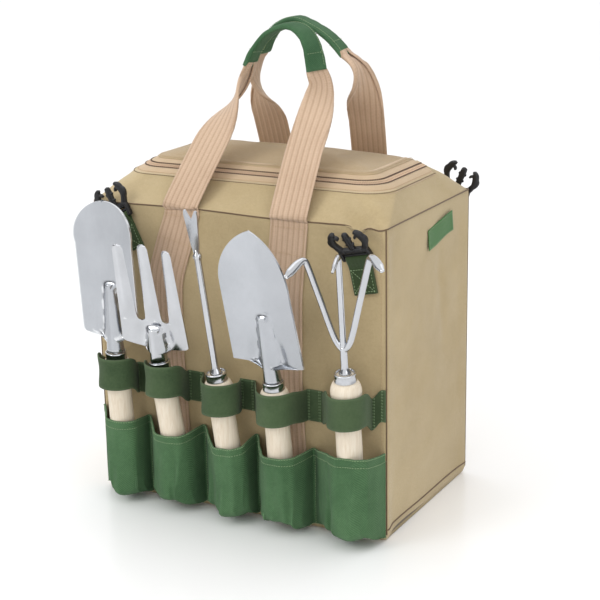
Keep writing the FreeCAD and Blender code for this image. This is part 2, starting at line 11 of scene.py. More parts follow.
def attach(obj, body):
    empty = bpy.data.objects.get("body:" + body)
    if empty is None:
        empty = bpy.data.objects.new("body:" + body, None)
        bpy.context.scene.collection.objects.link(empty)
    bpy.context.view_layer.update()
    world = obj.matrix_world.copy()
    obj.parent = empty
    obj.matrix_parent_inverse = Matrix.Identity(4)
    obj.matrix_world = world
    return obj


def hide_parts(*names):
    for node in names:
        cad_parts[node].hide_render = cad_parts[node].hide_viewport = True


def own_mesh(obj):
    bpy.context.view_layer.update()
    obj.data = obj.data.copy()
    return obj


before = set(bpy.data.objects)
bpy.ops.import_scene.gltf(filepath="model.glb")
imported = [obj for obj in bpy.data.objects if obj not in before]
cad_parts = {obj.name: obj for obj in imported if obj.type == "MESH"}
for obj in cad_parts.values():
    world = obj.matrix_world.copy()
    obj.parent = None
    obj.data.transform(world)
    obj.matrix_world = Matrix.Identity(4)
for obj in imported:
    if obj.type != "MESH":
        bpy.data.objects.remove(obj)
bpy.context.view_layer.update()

# All lengths below are in millimetres, and go to metres as each mesh is made.
MM = 0.001
UP = np.array((0.0, 0.0, 1.0))
SIDEWAYS = np.array((1.0, 0.0, 0.0))
DEPTHWAYS = np.array((0.0, 1.0, 0.0))

# Bag body and domed top: half width, half depth, front and back corner radius, height
HALF_W = 165.0
HALF_D = 100.0
HEIGHT = 312.0
LEVELS = np.array((
    (165.0, 100.0, 5.0, 5.0, 312.0),
    (148.0, 69.0, 30.0, 12.0, 335.0),
    (120.0, 45.0, 16.0, 6.0, 351.0),
    (62.0, 16.0, 8.0, 8.0, 360.0),
    (30.0, 5.0, 4.0, 4.0, 362.0),
))
ZIP_END_Y = 50.0
ZIP_RIGHT_Y = 49.6
TEETH_END_Y = 34.0
LID_HALF = 125.4
HINGE_Y = 68.6

# Straps and handles
STRAP_W = 40.0
WEBBING_T = 2.1
RIBS = 7
RIB_DEPTH = 0.38
SEW_Z = 307.0
# Where the webbing's edges turn in: beyond FLAT they lie open, and towards a grip they fold in step by step
FLAT = 30.0
FOLD_TURN = 2.95
FOLD_ROUND = 3.5
CREASE_AT = (0.34, 0.40, 0.62, 0.85, 1.0)
CREASES = (30.0, 20.0, 16.2, 12.4, 8.4)
FRONT_LEGS = (
    ((-57.0, 308.0), (-80.0, 240.0), (-81.0, 165.0), (-74.0, 2.0)),
    ((63.0, 308.0), (55.5, 240.0), (54.5, 150.0), (60.0, 2.0)),
)
BACK_LEGS = (
    ((-57.0, 308.0), (-57.0, 2.0)),
    ((52.0, 308.0), (52.0, 2.0)),
)
FRONT_ARCH = ((-25, 444), (-17, 460), (-3, 476), (17, 484), (34, 480), (45, 466), (51, 442))
BACK_ARCH = ((-27, 454), (-18, 470), (-5, 482), (14, 488), (34, 481), (51, 470), (66, 454))
ARCH_DEPTH = (17.0, 15.5, 13.5, 12.5, 13.5, 15.5, 17.0)
GRIP_W = 23.0
GRIP_T = 6.0
GRIP_GROOVE = 8.0

# Pockets and loops
POCKET_EDGES = (-164.0, -107.0, -40.0, 22.0, 86.0, 164.0)
POCKET_FRONTS = ((-136.0, -106.0), (-79.0, -43.0), (-11.0, 21.5), (45.0, 82.0), (120.0, 160.0))
POCKET_FRONT_Y = -142.0
POCKET_CORNER_R = 11.0
POCKET_DEPTH = 42.0
POCKET_LOW = 5.0
POCKET_EDGE_TOPS = (92.0, 89.0, 89.0, 89.0, 85.0, 93.0)
POCKET_MOUTHS = (94.0, 88.0, 85.0, 85.0, 97.0)
POCKET_TURN = 14.0
LOOP_Z = (113.0, 145.0)
LOOP_LIFTS = (17.0, -2.5, 7.0, 6.5, 16.0)
LOOP_END_LIFT = 11.0
LOOP_SPANS = ((-163.0, -118.0), (-106.0, -56.0), (-40.0, 5.0), (20.0, 80.0), (95.0, 150.0))
LOOP_STITCHES = ((-119.0, -106.0), (-56.0, -40.0), (5.0, 20.0), (80.0, 95.0), (150.0, 162.0))
LOOP_R = 18.6
LOOP_DEPTH = 40.0

# Tools: lean back, place of the axis, and heights above the butt
TILT = 7.0
TOOL_Y = -117.5
AXIS_Z = 128.0
AXIS_SHIFT = 8.0
# name, x of the axis at loop height, sideways lean, height of the butt, twist of the head
TOOLS = (
    ("trowel", -120.8, 2.6, 17.7, 2.0),
    ("fork", -64.3, -4.2, 14.7, 6.0),
    ("weeder", 0.4, -3.5, 12.2, -12.0),
    ("transplanter", 62.2, -0.2, 12.2, -3.8),
    ("cultivator", 139.6, 0.7, 32.7, 0.0),
)
# Steel heads, from the top of the collar up; a blade is set forwards and to the right by some degrees
TOP = 151.0
SHEET_T = 1.8
BLADE_DEPTH = 3.2
SOCKET_R = 8.9
SOCKET_TIP_R = 4.4
SOCKET_LENGTH = 70.0
FORK_SOCKET_LENGTH = 40.0
BLADE_SET = {"trowel": (-6.0, -4.8), "fork": (11.6, 8.1), "transplanter": (6.3, -0.7)}
# A prong's x and height at its bend, and its hook from there
PRONGS = (
    (-35.0, 110.0, (-5.0, -28.0, -10.0)),
    (0.0, 117.0, (5.0, -22.0, -8.0)),
    (32.5, 121.0, (22.0, -22.0, -5.0)),
)

# Buckles: name, x, height of the bar, front (-1) or back (+1), tilt in the panel's plane, flop outwards
BUCKLES = (
    ("front_left", -130.0, 297.0, -1, -26.0, 0.0),
    ("front_right", 137.0, 284.0, -1, -12.0, 35.0),
    ("back_left", -146.0, 304.0, 1, -12.0, 0.0),
    ("back_right", 145.0, 303.0, 1, 24.0, 0.0),
)
BUCKLE_STAND = 3.5
LABEL_PLACE = (HALF_W, 23.0, 285.0)
LABEL_TILT = 8.0

# Stage, in metres: the floor, each lamp's name, place, size and power, and the camera
FLOOR_HALF = 40.0
FLOOR_Z = -0.0002
LAMP_AIM = (0.0, 0.0, 0.2)
LAMPS = (
    ("key", (-1.5, -2.5, 2.1), 1.6, 29.0),
    ("fill", (2.6, -1.6, 1.5), 1.8, 8.0),
    ("top", (0.2, 0.4, 3.0), 2.2, 8.0),
)
WALL_DIRECTION = (0.878, 0.479, 0.0)
CAMERA_AZIMUTH = 28.6
CAMERA_ELEVATION = 16.0
CAMERA_AIM = (0.0185, 0.0, 0.2015)
CAMERA_DISTANCE = 1.575
CAMERA_ROLL = -0.018
CAMERA_LENS = 91.2
CAMERA_SENSOR = 36.0


# ---------------------------------------------------------------- small helpers


def linear(*rgb):
    """A colour given as 0-255 display values, as the linear colour that shaders take."""
    parts = [c / 255.0 for c in rgb]
    return [c / 12.92 if c <= 0.04045 else ((c + 0.055) / 1.055) ** 2.4 for c in parts] + [1.0]


def unit(v):
    """v, or each row of v, at length 1."""
    return v / np.maximum(np.linalg.norm(v, axis=-1, keepdims=True), 1e-9)


def smooth_step(x):
    """0 below 0, 1 above 1, with a smooth turn between."""
    x = np.clip(x, 0.0, 1.0)
    return x * x * (3.0 - 2.0 * x)


def hump(x, middle, width):
    """A smooth bump of height 1 about a middle."""
    return np.exp(-(((x - middle) / width) ** 2))


def wobble(points, size, seed, octaves=3):
    """Smooth repeatable noise, about -1 to 1, at points in mm."""
    rng = np.random.default_rng(seed)
    total = np.zeros(points.shape[:-1])
    reach = 0.0
    for octave in range(octaves):
        weight = 0.55**octave
        reach += weight * 2.4
        for _ in range(5):
            direction = rng.normal(size=3)
            direction /= np.linalg.norm(direction)
            pace = 2 * math.pi * 2**octave / size * (0.7 + 0.6 * rng.random())
            total += weight * np.sin(points @ direction * pace + rng.random() * 2 * math.pi)
    return total / reach


def polyline(points, count):
    """count points at even spacing along a line of points."""
    points = np.asarray(points, float)
    steps = np.linalg.norm(np.diff(points, axis=0), axis=1)
    run = np.concatenate([[0.0], np.cumsum(steps)])
    at = np.linspace(0.0, run[-1], count)
    return np.stack([np.interp(at, run, points[:, k]) for k in range(points.shape[1])], 1)


def curve(points, count):
    """count points along a smooth line through points (a Catmull-Rom spline)."""
    p = np.asarray(points, float)
    p = np.concatenate([[2 * p[0] - p[1]], p, [2 * p[-1] - p[-2]]])
    fine = []
    for a, b, c, d in zip(p, p[1:], p[2:], p[3:]):
        for t in np.linspace(0, 1, 24, endpoint=False):
            fine.append(0.5 * (2 * b + (c - a) * t + (2 * a - 5 * b + 4 * c - d) * t**2
                               + (3 * b - a - 3 * c + d) * t**3))
    fine.append(p[-2])
    return polyline(fine, count)


def length_of(points):
    """The length of a line of points."""
    return float(np.linalg.norm(np.diff(np.asarray(points, float), axis=0), axis=1).sum())


def softened(points, rounds=2):
    """A line of points with its corners eased, its two ends kept."""
    points = np.asarray(points, float)
    for _ in range(rounds):
        points[1:-1] = 0.25 * points[:-2] + 0.5 * points[1:-1] + 0.25 * points[2:]
    return points


# ---------------------------------------------------------------- meshes


def add_mesh(name, points, faces, corner_uvs, materials, body):
    """A smooth-shaded piece from points in mm, riding on a body."""
    mesh = bpy.data.meshes.new(name)
    mesh.from_pydata((np.asarray(points, float) * MM).tolist(), [], [list(map(int, f)) for f in faces])
    if corner_uvs is not None:
        layer = mesh.uv_layers.new(name="cloth")
        layer.data.foreach_set("uv", np.asarray(corner_uvs, np.float32).ravel())
    mesh.polygons.foreach_set("use_smooth", [True] * len(mesh.polygons))
    mesh.update()
    piece = bpy.data.objects.new(name, mesh)
    bpy.context.scene.collection.objects.link(piece)
    for material in materials if isinstance(materials, (list, tuple)) else [materials]:
        mesh.materials.append(material)
    if body:
        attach(piece, body)
    return piece


def grid_quads(rows, cols, wrap):
    """The quads of a grid of points, and the matching corners in its grid of texture coordinates."""
    across = cols if wrap else cols - 1
    r, c = (a.ravel() for a in np.meshgrid(np.arange(rows - 1), np.arange(across), indexing="ij"))
    following = (c + 1) % cols
    quads = np.stack([r * cols + c, r * cols + following, (r + 1) * cols + following, (r + 1) * cols + c], 1)
    wide = cols + 1 if wrap else cols
    corners = np.stack([r * wide + c, r * wide + c + 1, (r + 1) * wide + c + 1, (r + 1) * wide + c], 1)
    return quads, corners


def measure_uv(grid, wrap):
    """Texture coordinates in mm along the rows and columns of a grid."""
    closed = np.concatenate([grid, grid[:, :1]], 1) if wrap else grid
    widest = np.linalg.norm(np.diff(closed, axis=1), axis=2)
    along = np.concatenate([np.zeros((len(grid), 1)), np.cumsum(widest, 1)], 1)
    reference = along[np.argmax(along[:, -1])]
    down = np.linalg.norm(np.diff(grid, axis=0), axis=2).mean(1)
    upward = np.concatenate([[0.0], np.cumsum(down)])
    u, v = np.meshgrid(reference, upward)
    return np.stack([u, v], 2)


def add_grid(name, grid, materials, body, wrap=False, uv=None):
    """A piece from a grid of points, rows by columns by 3."""
    rows, cols = grid.shape[:2]
    quads, corners = grid_quads(rows, cols, wrap)
    uv = measure_uv(grid, wrap) if uv is None else uv
    return add_mesh(name, grid.reshape(-1, 3), quads, uv.reshape(-1, 2)[corners.ravel()], materials, body)


def thicken(piece, thickness, lining=False):
    """Cloth thickness, with its second material on the inside where it has one."""
    modifier = piece.modifiers.new("thickness", "SOLIDIFY")
    modifier.thickness = thickness * MM
    modifier.offset = -1.0
    modifier.material_offset = 1 if lining else 0
    return piece


def soften_edges(piece, width, segments=2, angle=40):
    """Small rounded edges, and smooth shading up to them."""
    modifier = piece.modifiers.new("edges", "BEVEL")
    modifier.width = width * MM
    modifier.segments = segments
    modifier.limit_method = "ANGLE"
    modifier.angle_limit = math.radians(angle)
    modifier.harden_normals = True
    return piece


def grid_normals(grid, wrap=False):
    """The unit normals of a grid of points."""
    across = np.roll(grid, -1, 1) - np.roll(grid, 1, 1) if wrap else np.gradient(grid, axis=1)
    return unit(np.cross(across, np.gradient(grid, axis=0)))


def frames_along(path):
    """The tangents of a path and two unit directions across it, with no sudden twist."""
    tangents = unit(np.gradient(path, axis=0))
    side = np.cross(tangents[0], UP if abs(tangents[0][2]) < 0.9 else SIDEWAYS)
    sides = []
    for tangent in tangents:
        side = side - tangent * side.dot(tangent)
        side = side / np.linalg.norm(side)
        sides.append(side)
    sides = np.array(sides)
    return tangents, sides, np.cross(tangents, sides)


def tube_rows(path, radii, segments=14, flat=None):
    """The rings of a tube along a path; flat is how thin it is across the second direction, by row."""
    _, first, second = frames_along(path)
    radii = np.broadcast_to(radii, len(path))
    flat = np.broadcast_to(1.0 if flat is None else flat, len(path))
    angles = np.linspace(0, 2 * math.pi, segments, endpoint=False)
    ring = np.cos(angles)[None, :, None] * first[:, None] * radii[:, None, None]
    ring = ring + np.sin(angles)[None, :, None] * second[:, None] * (radii * flat)[:, None, None]
    return path[:, None] + ring


def closed_rows(rows):
    """Rings with a small ring added at each end, so that the ends close smoothly."""
    first, last = rows[:1].mean(1, keepdims=True), rows[-1:].mean(1, keepdims=True)
    return np.concatenate([first + (rows[:1] - first) * 0.02, rows, last + (rows[-1:] - last) * 0.02])


def joined(name, grids, materials, body, wrap=True):
    """One piece from several grids of points."""
    points, faces, uvs = [], [], []
    base = 0
    for grid in grids:
        quads, corners = grid_quads(grid.shape[0], grid.shape[1], wrap)
        points.append(grid.reshape(-1, 3))
        faces.append(quads + base)
        uvs.append(measure_uv(grid, wrap).reshape(-1, 2)[corners.ravel()])
        base += grid.shape[0] * grid.shape[1]
    return add_mesh(name, np.concatenate(points), np.concatenate(faces), np.concatenate(uvs), materials, body)


def beads(name, centres, along, normals, length, radius, material, body):
    """Many small rounded bodies, each along its own direction: stitches, or the teeth of a zip."""
    centres, along, normals = (np.asarray(a, float) for a in (centres, along, normals))
    along = unit(along)
    across = unit(np.cross(along, normals))
    normals = np.cross(across, along)
    sides = 6
    angles = np.linspace(0, 2 * math.pi, sides, endpoint=False)
    stations = ((-0.5, 0.3), (-0.36, 0.85), (0.0, 1.0), (0.36, 0.85), (0.5, 0.3))
    points = []
    for place, share in stations:
        for angle in angles:
            points.append(
                centres + along * (place * length)
                + across * (math.cos(angle) * share * radius) + normals * (math.sin(angle) * share * radius)
            )
    points = np.stack(points, 1)
    quads, _ = grid_quads(len(stations), sides, True)
    per_bead = len(stations) * sides
    starts = (np.arange(len(centres)) * per_bead)[:, None, None]
    faces = (quads[None] + starts).reshape(-1, 4).tolist()
    low = list(range(sides))[::-1]
    high = [per_bead - sides + k for k in range(sides)]
    for start in range(0, len(centres) * per_bead, per_bead):
        faces.append([start + k for k in low])
        faces.append([start + k for k in high])
    return add_mesh(name, points.reshape(-1, 3), faces, None, material, body)


def stitches(name, paths, pitch, length, radius, material, body):
    """Rows of stitches. Each path is (points, normal or normals) in mm."""
    centres, along, normals = [], [], []
    for points, normal in paths:
        points = np.asarray(points, float)
        count = max(3, int(length_of(points) / pitch))
        normal = np.broadcast_to(np.asarray(normal, float), points.shape)
        both = polyline_pair(points, normal, count)
        centres.append(both[0])
        along.append(np.gradient(both[0], axis=0))
        normals.append(unit(both[1]))
    return beads(name, np.concatenate(centres), np.concatenate(along), np.concatenate(normals),
                 length, radius, material, body)


def polyline_pair(points, values, count):
    """Points at even spacing along a line, with values that go with its points."""
    run = np.concatenate([[0.0], np.cumsum(np.linalg.norm(np.diff(points, axis=0), axis=1))])
    at = np.linspace(0.0, run[-1], count)
    return [np.stack([np.interp(at, run, a[:, k]) for k in range(3)], 1) for a in (points, values)]


def cords(name, paths, radius, material, body):
    """Thin raised lines, such as the roll of a seam."""
    return joined(name, [closed_rows(tube_rows(np.asarray(p, float), radius, 8)) for p in paths],
                  material, body)


def lathe(name, profile, segments, material, body, place, ripple=0.0, seed=0):
    """A turned piece from (radius, height) points about the local Z axis, moved by a placement."""
    profile = np.asarray(profile, float)
    angles = np.linspace(0, 2 * math.pi, segments, endpoint=False)
    grid = np.stack([
        profile[:, :1] * np.cos(angles), profile[:, :1] * np.sin(angles),
        np.repeat(profile[:, 1:], segments, 1),
    ], 2)
    if ripple:
        swell = 1 + ripple * wobble(grid * np.array((1, 1, 0.25)), 18.0, seed, 2)
        grid = grid * np.stack([swell, swell, np.ones_like(swell)], 2)
    uv = np.stack(np.meshgrid(np.linspace(0, 2 * math.pi * 12, segments + 1), profile[:, 1]), 2)
    return add_grid(name, moved(grid, place), material, body, wrap=True, uv=uv)


def moved(points, place):
    """Points in mm moved by a 4x4 placement."""
    matrix = np.array(place)
    return points @ matrix[:3, :3].T + matrix[:3, 3]


# ---------------------------------------------------------------- materials


class Shader:
    """A node material with a few short ways to add and join nodes."""

    def __init__(self, name, roughness, metallic=0.0):
        self.material = bpy.data.materials.new(name)
        self.material.use_nodes = True
        self.tree = self.material.node_tree
        self.surface = self.tree.nodes["Principled BSDF"]
        self.surface.inputs["Roughness"].default_value = roughness
        self.surface.inputs["Metallic"].default_value = metallic

    def add(self, kind, inputs=(), output=0, **settings):
        """A node with its settings, and its inputs joined or set by place or name."""
        node = self.tree.nodes.new(kind)
        for key, value in settings.items():
            setattr(node, key, value)
        for key, value in (inputs.items() if isinstance(inputs, dict) else enumerate(inputs)):
            if value is None:
                continue
            if isinstance(value, bpy.types.NodeSocket):
                self.tree.links.new(value, node.inputs[key])
            else:
                node.inputs[key].default_value = value
        return node.outputs[output]

    def math(self, operation, *values):
        """A sum, product or other operation on numbers."""
        return self.add("ShaderNodeMath", values, operation=operation)

    def join(self, value, name):
        """Joins a value to an input of the surface."""
        if isinstance(value, bpy.types.NodeSocket):
            self.tree.links.new(value, self.surface.inputs[name])
        else:
            self.surface.inputs[name].default_value = value

    def place(self):
        """The rest place in metres."""
        return self.add("ShaderNodeTexCoord", output="Object")

    def cloth_place(self):
        """The two texture coordinates in mm."""
        uv = self.add("ShaderNodeUVMap", uv_map="cloth")
        split = self.tree.nodes.new("ShaderNodeSeparateXYZ")
        self.tree.links.new(uv, split.inputs[0])
        return split.outputs[0], split.outputs[1]

    def noise(self, where, scale, detail=3.0, roughness=0.55):
        """Soft noise from 0 to 1."""
        return self.add("ShaderNodeTexNoise", {"Vector": where, "Scale": scale, "Detail": detail,
                                               "Roughness": roughness}, output="Fac")

    def stretched(self, where, scale):
        """A place scaled by its own amount along each axis."""
        return self.add("ShaderNodeMapping", {"Vector": where, "Scale": scale})

    def wave(self, value, pitch, shift=0.0):
        """A sine from 0 to 1 with a pitch in the same unit as the value."""
        turned = self.math("MULTIPLY_ADD", value, 2 * math.pi / pitch, shift)
        return self.math("MULTIPLY_ADD", self.math("SINE", turned), 0.5, 0.5)

    def mix(self, share, a, b, blend="MIX"):
        """Two colours mixed."""
        return self.add("ShaderNodeMix", {0: share, 6: a, 7: b}, output=2, data_type="RGBA",
                        blend_type=blend)

    def ramp(self, value, low, high):
        """A value spread so that low becomes 0 and high becomes 1."""
        return self.add("ShaderNodeMapRange", {"Value": value, "From Min": low, "From Max": high})

    def bump(self, height, distance, strength=1.0, under=None):
        """Relief from a height of 0 to 1 over a distance in mm."""
        return self.add("ShaderNodeBump", {"Height": height, "Distance": distance * MM,
                                           "Strength": strength, "Normal": under})


def worn(shader, colour, pale, amount=0.5):
    """A colour that is paler where an edge stands out."""
    edge = shader.add("ShaderNodeNewGeometry", output="Pointiness")
    share = shader.math("MULTIPLY", shader.ramp(edge, 0.52, 0.62), amount)
    return shader.mix(share, colour, pale)


def cloth(name, dark, light, pitch=0.9, weave="plain", sheen=0.25, relief=0.12, roughness=0.9, blotch=9.0):
    """Woven cloth: thread relief, slubs, faint blotches and a soft sheen."""
    s = Shader(name, roughness)
    u, v = s.cloth_place()
    where = s.place()
    if weave == "twill":
        diagonal = s.wave(s.math("ADD", u, v), pitch * 1.41)
        thread = s.wave(s.math("SUBTRACT", u, v), pitch * 0.6)
        height = s.math("MULTIPLY", diagonal, s.math("MULTIPLY_ADD", thread, 0.4, 0.6))
    else:
        over = s.math("MULTIPLY", s.wave(u, pitch), s.wave(v, pitch, 1.6))
        under = s.math("MULTIPLY", s.wave(u, pitch, math.pi), s.wave(v, pitch, 1.6 + math.pi))
        height = s.math("ADD", over, under)
    slub = s.noise(s.stretched(where, (900, 900, 2600)), 1.0, 2.0)
    cloudy = s.noise(where, blotch, 4.0, 0.6)
    fine = s.noise(where, 380.0, 2.0)
    tone = s.math("MULTIPLY_ADD", cloudy, 0.75, s.math("MULTIPLY_ADD", slub, 0.3, -0.05))
    tone = s.math("MULTIPLY_ADD", fine, 0.25, s.math("SUBTRACT", tone, 0.3))
    tone = s.math("MULTIPLY_ADD", height, 0.28, tone)
    colour = s.mix(s.ramp(tone, 0.1, 0.9), linear(*dark), linear(*light))
    s.join(worn(s, colour, linear(*[min(255, c + 22) for c in light]), 0.35), "Base Color")
    s.join(s.math("MULTIPLY_ADD", fine, 0.12, roughness - 0.08), "Roughness")
    relief_height = s.math("MULTIPLY_ADD", fine, 0.4, height)
    s.join(s.bump(relief_height, relief), "Normal")
    s.join(sheen, "Sheen Weight")
    s.join(0.5, "Sheen Roughness")
    s.join(0.15, "Specular IOR Level")
    return s.material


def ribbed_webbing(name, dark, light):
    """Woven webbing: ribs along it with painted shade in the valleys between them, a dotted line of ties
    between them, and a fine herringbone.
    """
    s = Shader(name, 0.88)
    u, v = s.cloth_place()
    where = s.place()
    rib = STRAP_W / RIBS
    # Painted shade: the colour is darkened in the valleys between the ribs.
    rib_valley_shade = s.math("POWER", s.wave(u, rib, -math.pi / 2), 3.0)
    ties = s.math("MULTIPLY", s.wave(v, 1.9), s.wave(u, rib / 2))
    herringbone = s.wave(s.math("ADD", s.math("MULTIPLY", s.math("PINGPONG", u, rib / 2), 1.6), v), 1.5)
    cloudy = s.noise(where, 14.0, 4.0, 0.6)
    fine = s.noise(where, 650.0, 2.0)
    tone = s.math("MULTIPLY_ADD", cloudy, 0.45, s.math("MULTIPLY", fine, 0.35))
    tone = s.math("MULTIPLY_ADD", herringbone, 0.16, s.math("MULTIPLY_ADD", ties, -0.22, tone))
    tone = s.math("MULTIPLY_ADD", rib_valley_shade, -0.28, tone)
    colour = s.mix(s.ramp(tone, -0.1, 0.75), linear(*dark), linear(*light))
    s.join(colour, "Base Color")
    height = s.math("MULTIPLY_ADD", herringbone, 0.4, s.math("MULTIPLY", ties, -0.5))
    s.join(s.bump(height, 0.2), "Normal")
    s.join(0.3, "Sheen Weight")
    s.join(0.15, "Specular IOR Level")
    return s.material


def steel(name, tint, roughness):
    """Polished steel with faint brush marks, smudges and a slightly dull edge."""
    s = Shader(name, roughness, 1.0)
    where = s.place()
    strokes = s.noise(s.stretched(where, (1500, 1500, 60)), 1.0, 3.0)
    smudge = s.noise(where, 22.0, 4.0, 0.65)
    tone = s.math("MULTIPLY_ADD", smudge, 0.7, s.math("MULTIPLY", strokes, 0.3))
    colour = s.mix(s.ramp(tone, 0.25, 0.8), linear(*[c - 22 for c in tint]), linear(*tint))
    s.join(worn(s, colour, linear(240, 242, 244), 0.6), "Base Color")
    s.join(s.math("MULTIPLY_ADD", tone, 0.16, roughness - 0.06), "Roughness")
    s.join(s.bump(strokes, 0.012), "Normal")
    return s.material


def wood(name):
    """Pale bare wood: long grain, soft rings, small pores and handling marks."""
    s = Shader(name, 0.55)
    where = s.place()
    grain = s.noise(s.stretched(where, (420, 420, 16)), 1.0, 5.0, 0.65)
    broad = s.noise(s.stretched(where, (90, 90, 7)), 1.0, 3.0)
    pores = s.noise(s.stretched(where, (2200, 2200, 130)), 1.0, 2.0)
    rings = s.wave(s.math("MULTIPLY", broad, 10.0), 1.0)
    tone = s.math("MULTIPLY_ADD", grain, 0.6, s.math("MULTIPLY", rings, 0.12))
    colour = s.mix(s.ramp(tone, 0.15, 0.75), linear(216, 200, 176), linear(243, 235, 220))
    dark_pore = s.math("MULTIPLY", s.ramp(pores, 0.62, 0.78), 0.22)
    colour = s.mix(dark_pore, colour, linear(166, 134, 98))
    s.join(worn(s, colour, linear(248, 240, 224), 0.5), "Base Color")
    s.join(s.math("MULTIPLY_ADD", grain, 0.2, 0.42), "Roughness")
    s.join(s.bump(s.math("MULTIPLY_ADD", pores, 0.4, grain), 0.08), "Normal")
    s.join(0.3, "Specular IOR Level")
    return s.material


def plastic(name, tint):
    """Moulded plastic: fine spark texture, a soft gloss and rubbed edges."""
    s = Shader(name, 0.38)
    where = s.place()
    fine = s.noise(where, 1400.0, 2.0)
    smudge = s.noise(where, 60.0, 3.0)
    colour = s.mix(smudge, linear(*tint), linear(*[c + 12 for c in tint]))
    s.join(worn(s, colour, linear(96, 96, 100), 0.45), "Base Color")
    s.join(s.math("MULTIPLY_ADD", smudge, 0.22, 0.28), "Roughness")
    s.join(s.bump(fine, 0.03), "Normal")
    return s.material


def thread(name, dark, light):
    """Sewing thread with a fine twist; also the dark beads of painted shade beside the zip's coils."""
    s = Shader(name, 0.7)
    where = s.place()
    twist = s.noise(where, 2400.0, 2.0)
    s.join(s.mix(s.ramp(twist, 0.35, 0.65), linear(*dark), linear(*light)), "Base Color")
    s.join(s.bump(twist, 0.06), "Normal")
    s.join(0.2, "Sheen Weight")
    return s.material


def board(name):
    """The stiff grey board in the base."""
    s = Shader(name, 0.8)
    where = s.place()
    fibres = s.noise(s.stretched(where, (300, 900, 300)), 1.0, 4.0)
    s.join(s.mix(fibres, linear(92, 84, 74), linear(138, 128, 114)), "Base Color")
    s.join(s.bump(fibres, 0.15), "Normal")
    return s.material


def floor_finish():
    """A plain pale satin floor."""
    s = Shader("floor_finish", 0.32)
    where = s.place()
    faint = s.noise(where, 3.0, 2.0)
    s.join(s.mix(faint, linear(249, 249, 249), linear(252, 252, 252)), "Base Color")
    s.join(s.math("MULTIPLY_ADD", faint, 0.04, 0.2), "Roughness")
    s.join(0.25, "Specular IOR Level")
    return s.material


CANVAS = cloth("canvas", (164, 144, 106), (208, 189, 150), 0.95)
# Painted shade: the lid takes a darker copy of the same canvas, so that the domed top comes out darker than
# the front.
SHADED_LID_CANVAS = cloth("lid_canvas_painted_shade", (156, 133, 100), (198, 176, 141), 0.95)
LINING = cloth("lining", (120, 108, 88), (160, 147, 122), 0.7, roughness=0.95)
TAPE = cloth("zip_tape", (186, 160, 128), (218, 194, 162), 1.1, relief=0.2)
POCKET = cloth("pocket_cloth", (50, 82, 52), (102, 138, 98), 1.7, "twill", 0.06, 0.22, blotch=16.0)
GRIP = cloth("grip_cloth", (44, 80, 52), (96, 132, 96), 1.7, "twill", 0.06, 0.22, blotch=16.0)
BAND = cloth("band_cloth", (48, 68, 44), (94, 112, 80), 1.1, "plain", 0.06, 0.14, blotch=16.0)
TAB = cloth("tab_webbing", (34, 48, 26), (72, 92, 54), 1.6, relief=0.25)
LABEL = cloth("label_cloth", (48, 92, 44), (78, 128, 66), 0.8, relief=0.1)
WEBBING = ribbed_webbing("webbing", (166, 136, 110), (220, 193, 167))
WOOD = wood("wood")
STEEL = steel("steel", (192, 195, 200), 0.2)
BRIGHT = steel("bright_steel", (204, 206, 210), 0.12)
ZIP_METAL = steel("zip_metal", (176, 168, 150), 0.3)
PLASTIC = plastic("buckle_plastic", (14, 14, 17))
SEAM_THREAD = thread("seam_thread", (84, 64, 42), (120, 96, 68))
TAN_THREAD = thread("tan_thread", (168, 140, 104), (206, 180, 142))
TEETH_THREAD = thread("zip_teeth", (190, 158, 128), (230, 202, 172))
# Dark beads of painted shade along the outer edges of the zip's coils, made like thread.
ZIP_SHADE_DOTS = thread("zip_coil_shade", (70, 50, 34), (104, 78, 56))
GREEN_THREAD = thread("green_thread", (112, 140, 96), (158, 182, 138))
BOARD = board("base_board")


# ---------------------------------------------------------------- bag body


def front_offset(x, z):
    """How far the front panel stands out at a place, in mm."""
    place = np.stack([x, x * 0, z], -1)
    swell = 1.0 * wobble(place, 190.0, 3) - 0.6
    top = smooth_step((z - 150) / 120)
    folds = -2.4 * hump(x, -122, 9) * hump(z, 250, 52) - 1.8 * hump(x, -142, 8) * hump(z, 262, 40)
    folds = folds + 1.2 * hump(x, -132, 7) * hump(z, 245, 45)
    folds = folds - 2.0 * hump(x, 24, 12) * hump(z, 268, 26)
    across = (x - 118) * 0.5 + (z - 296) * 0.9
    pucker = 3.2 * hump(x, 134, 24) * hump(z, 296, 17) * np.sin(across / 4.6)
    edge = smooth_step((HALF_W - np.abs(x)) / 18) * smooth_step((HEIGHT + 1 - z) / 14)
    return (swell + top * folds) * edge + pucker * smooth_step((HALF_W - np.abs(x)) / 7)


def side_offset(y, z):
    """How far a side panel stands out at a place, in mm."""
    place = np.stack([y, y * 0 + 40, z], -1)
    slanted = 1.3 * np.sin((y * 0.5 + z) / 21.0 + wobble(place, 120.0, 12))
    swell = 2.2 * wobble(place, 150.0, 9) - 1.6
    crease = -1.8 * hump(y + (z - 200) * 0.15, 38, 9) * hump(z, 215, 60)
    edge = smooth_step((HALF_D - np.abs(y)) / 22) * smooth_step((HEIGHT + 2 - z) / 20)
    return (swell + slanted * hump(z, 190, 110) + crease) * edge


def back_offset(x, z):
    """How far the back panel stands out at a place, in mm."""
    place = np.stack([x, x * 0 + 90, z], -1)
    edge = smooth_step((HALF_W - np.abs(x)) / 22) * smooth_step((HEIGHT + 2 - z) / 20)
    return (1.4 * wobble(place, 160.0, 21) - 1.0) * edge


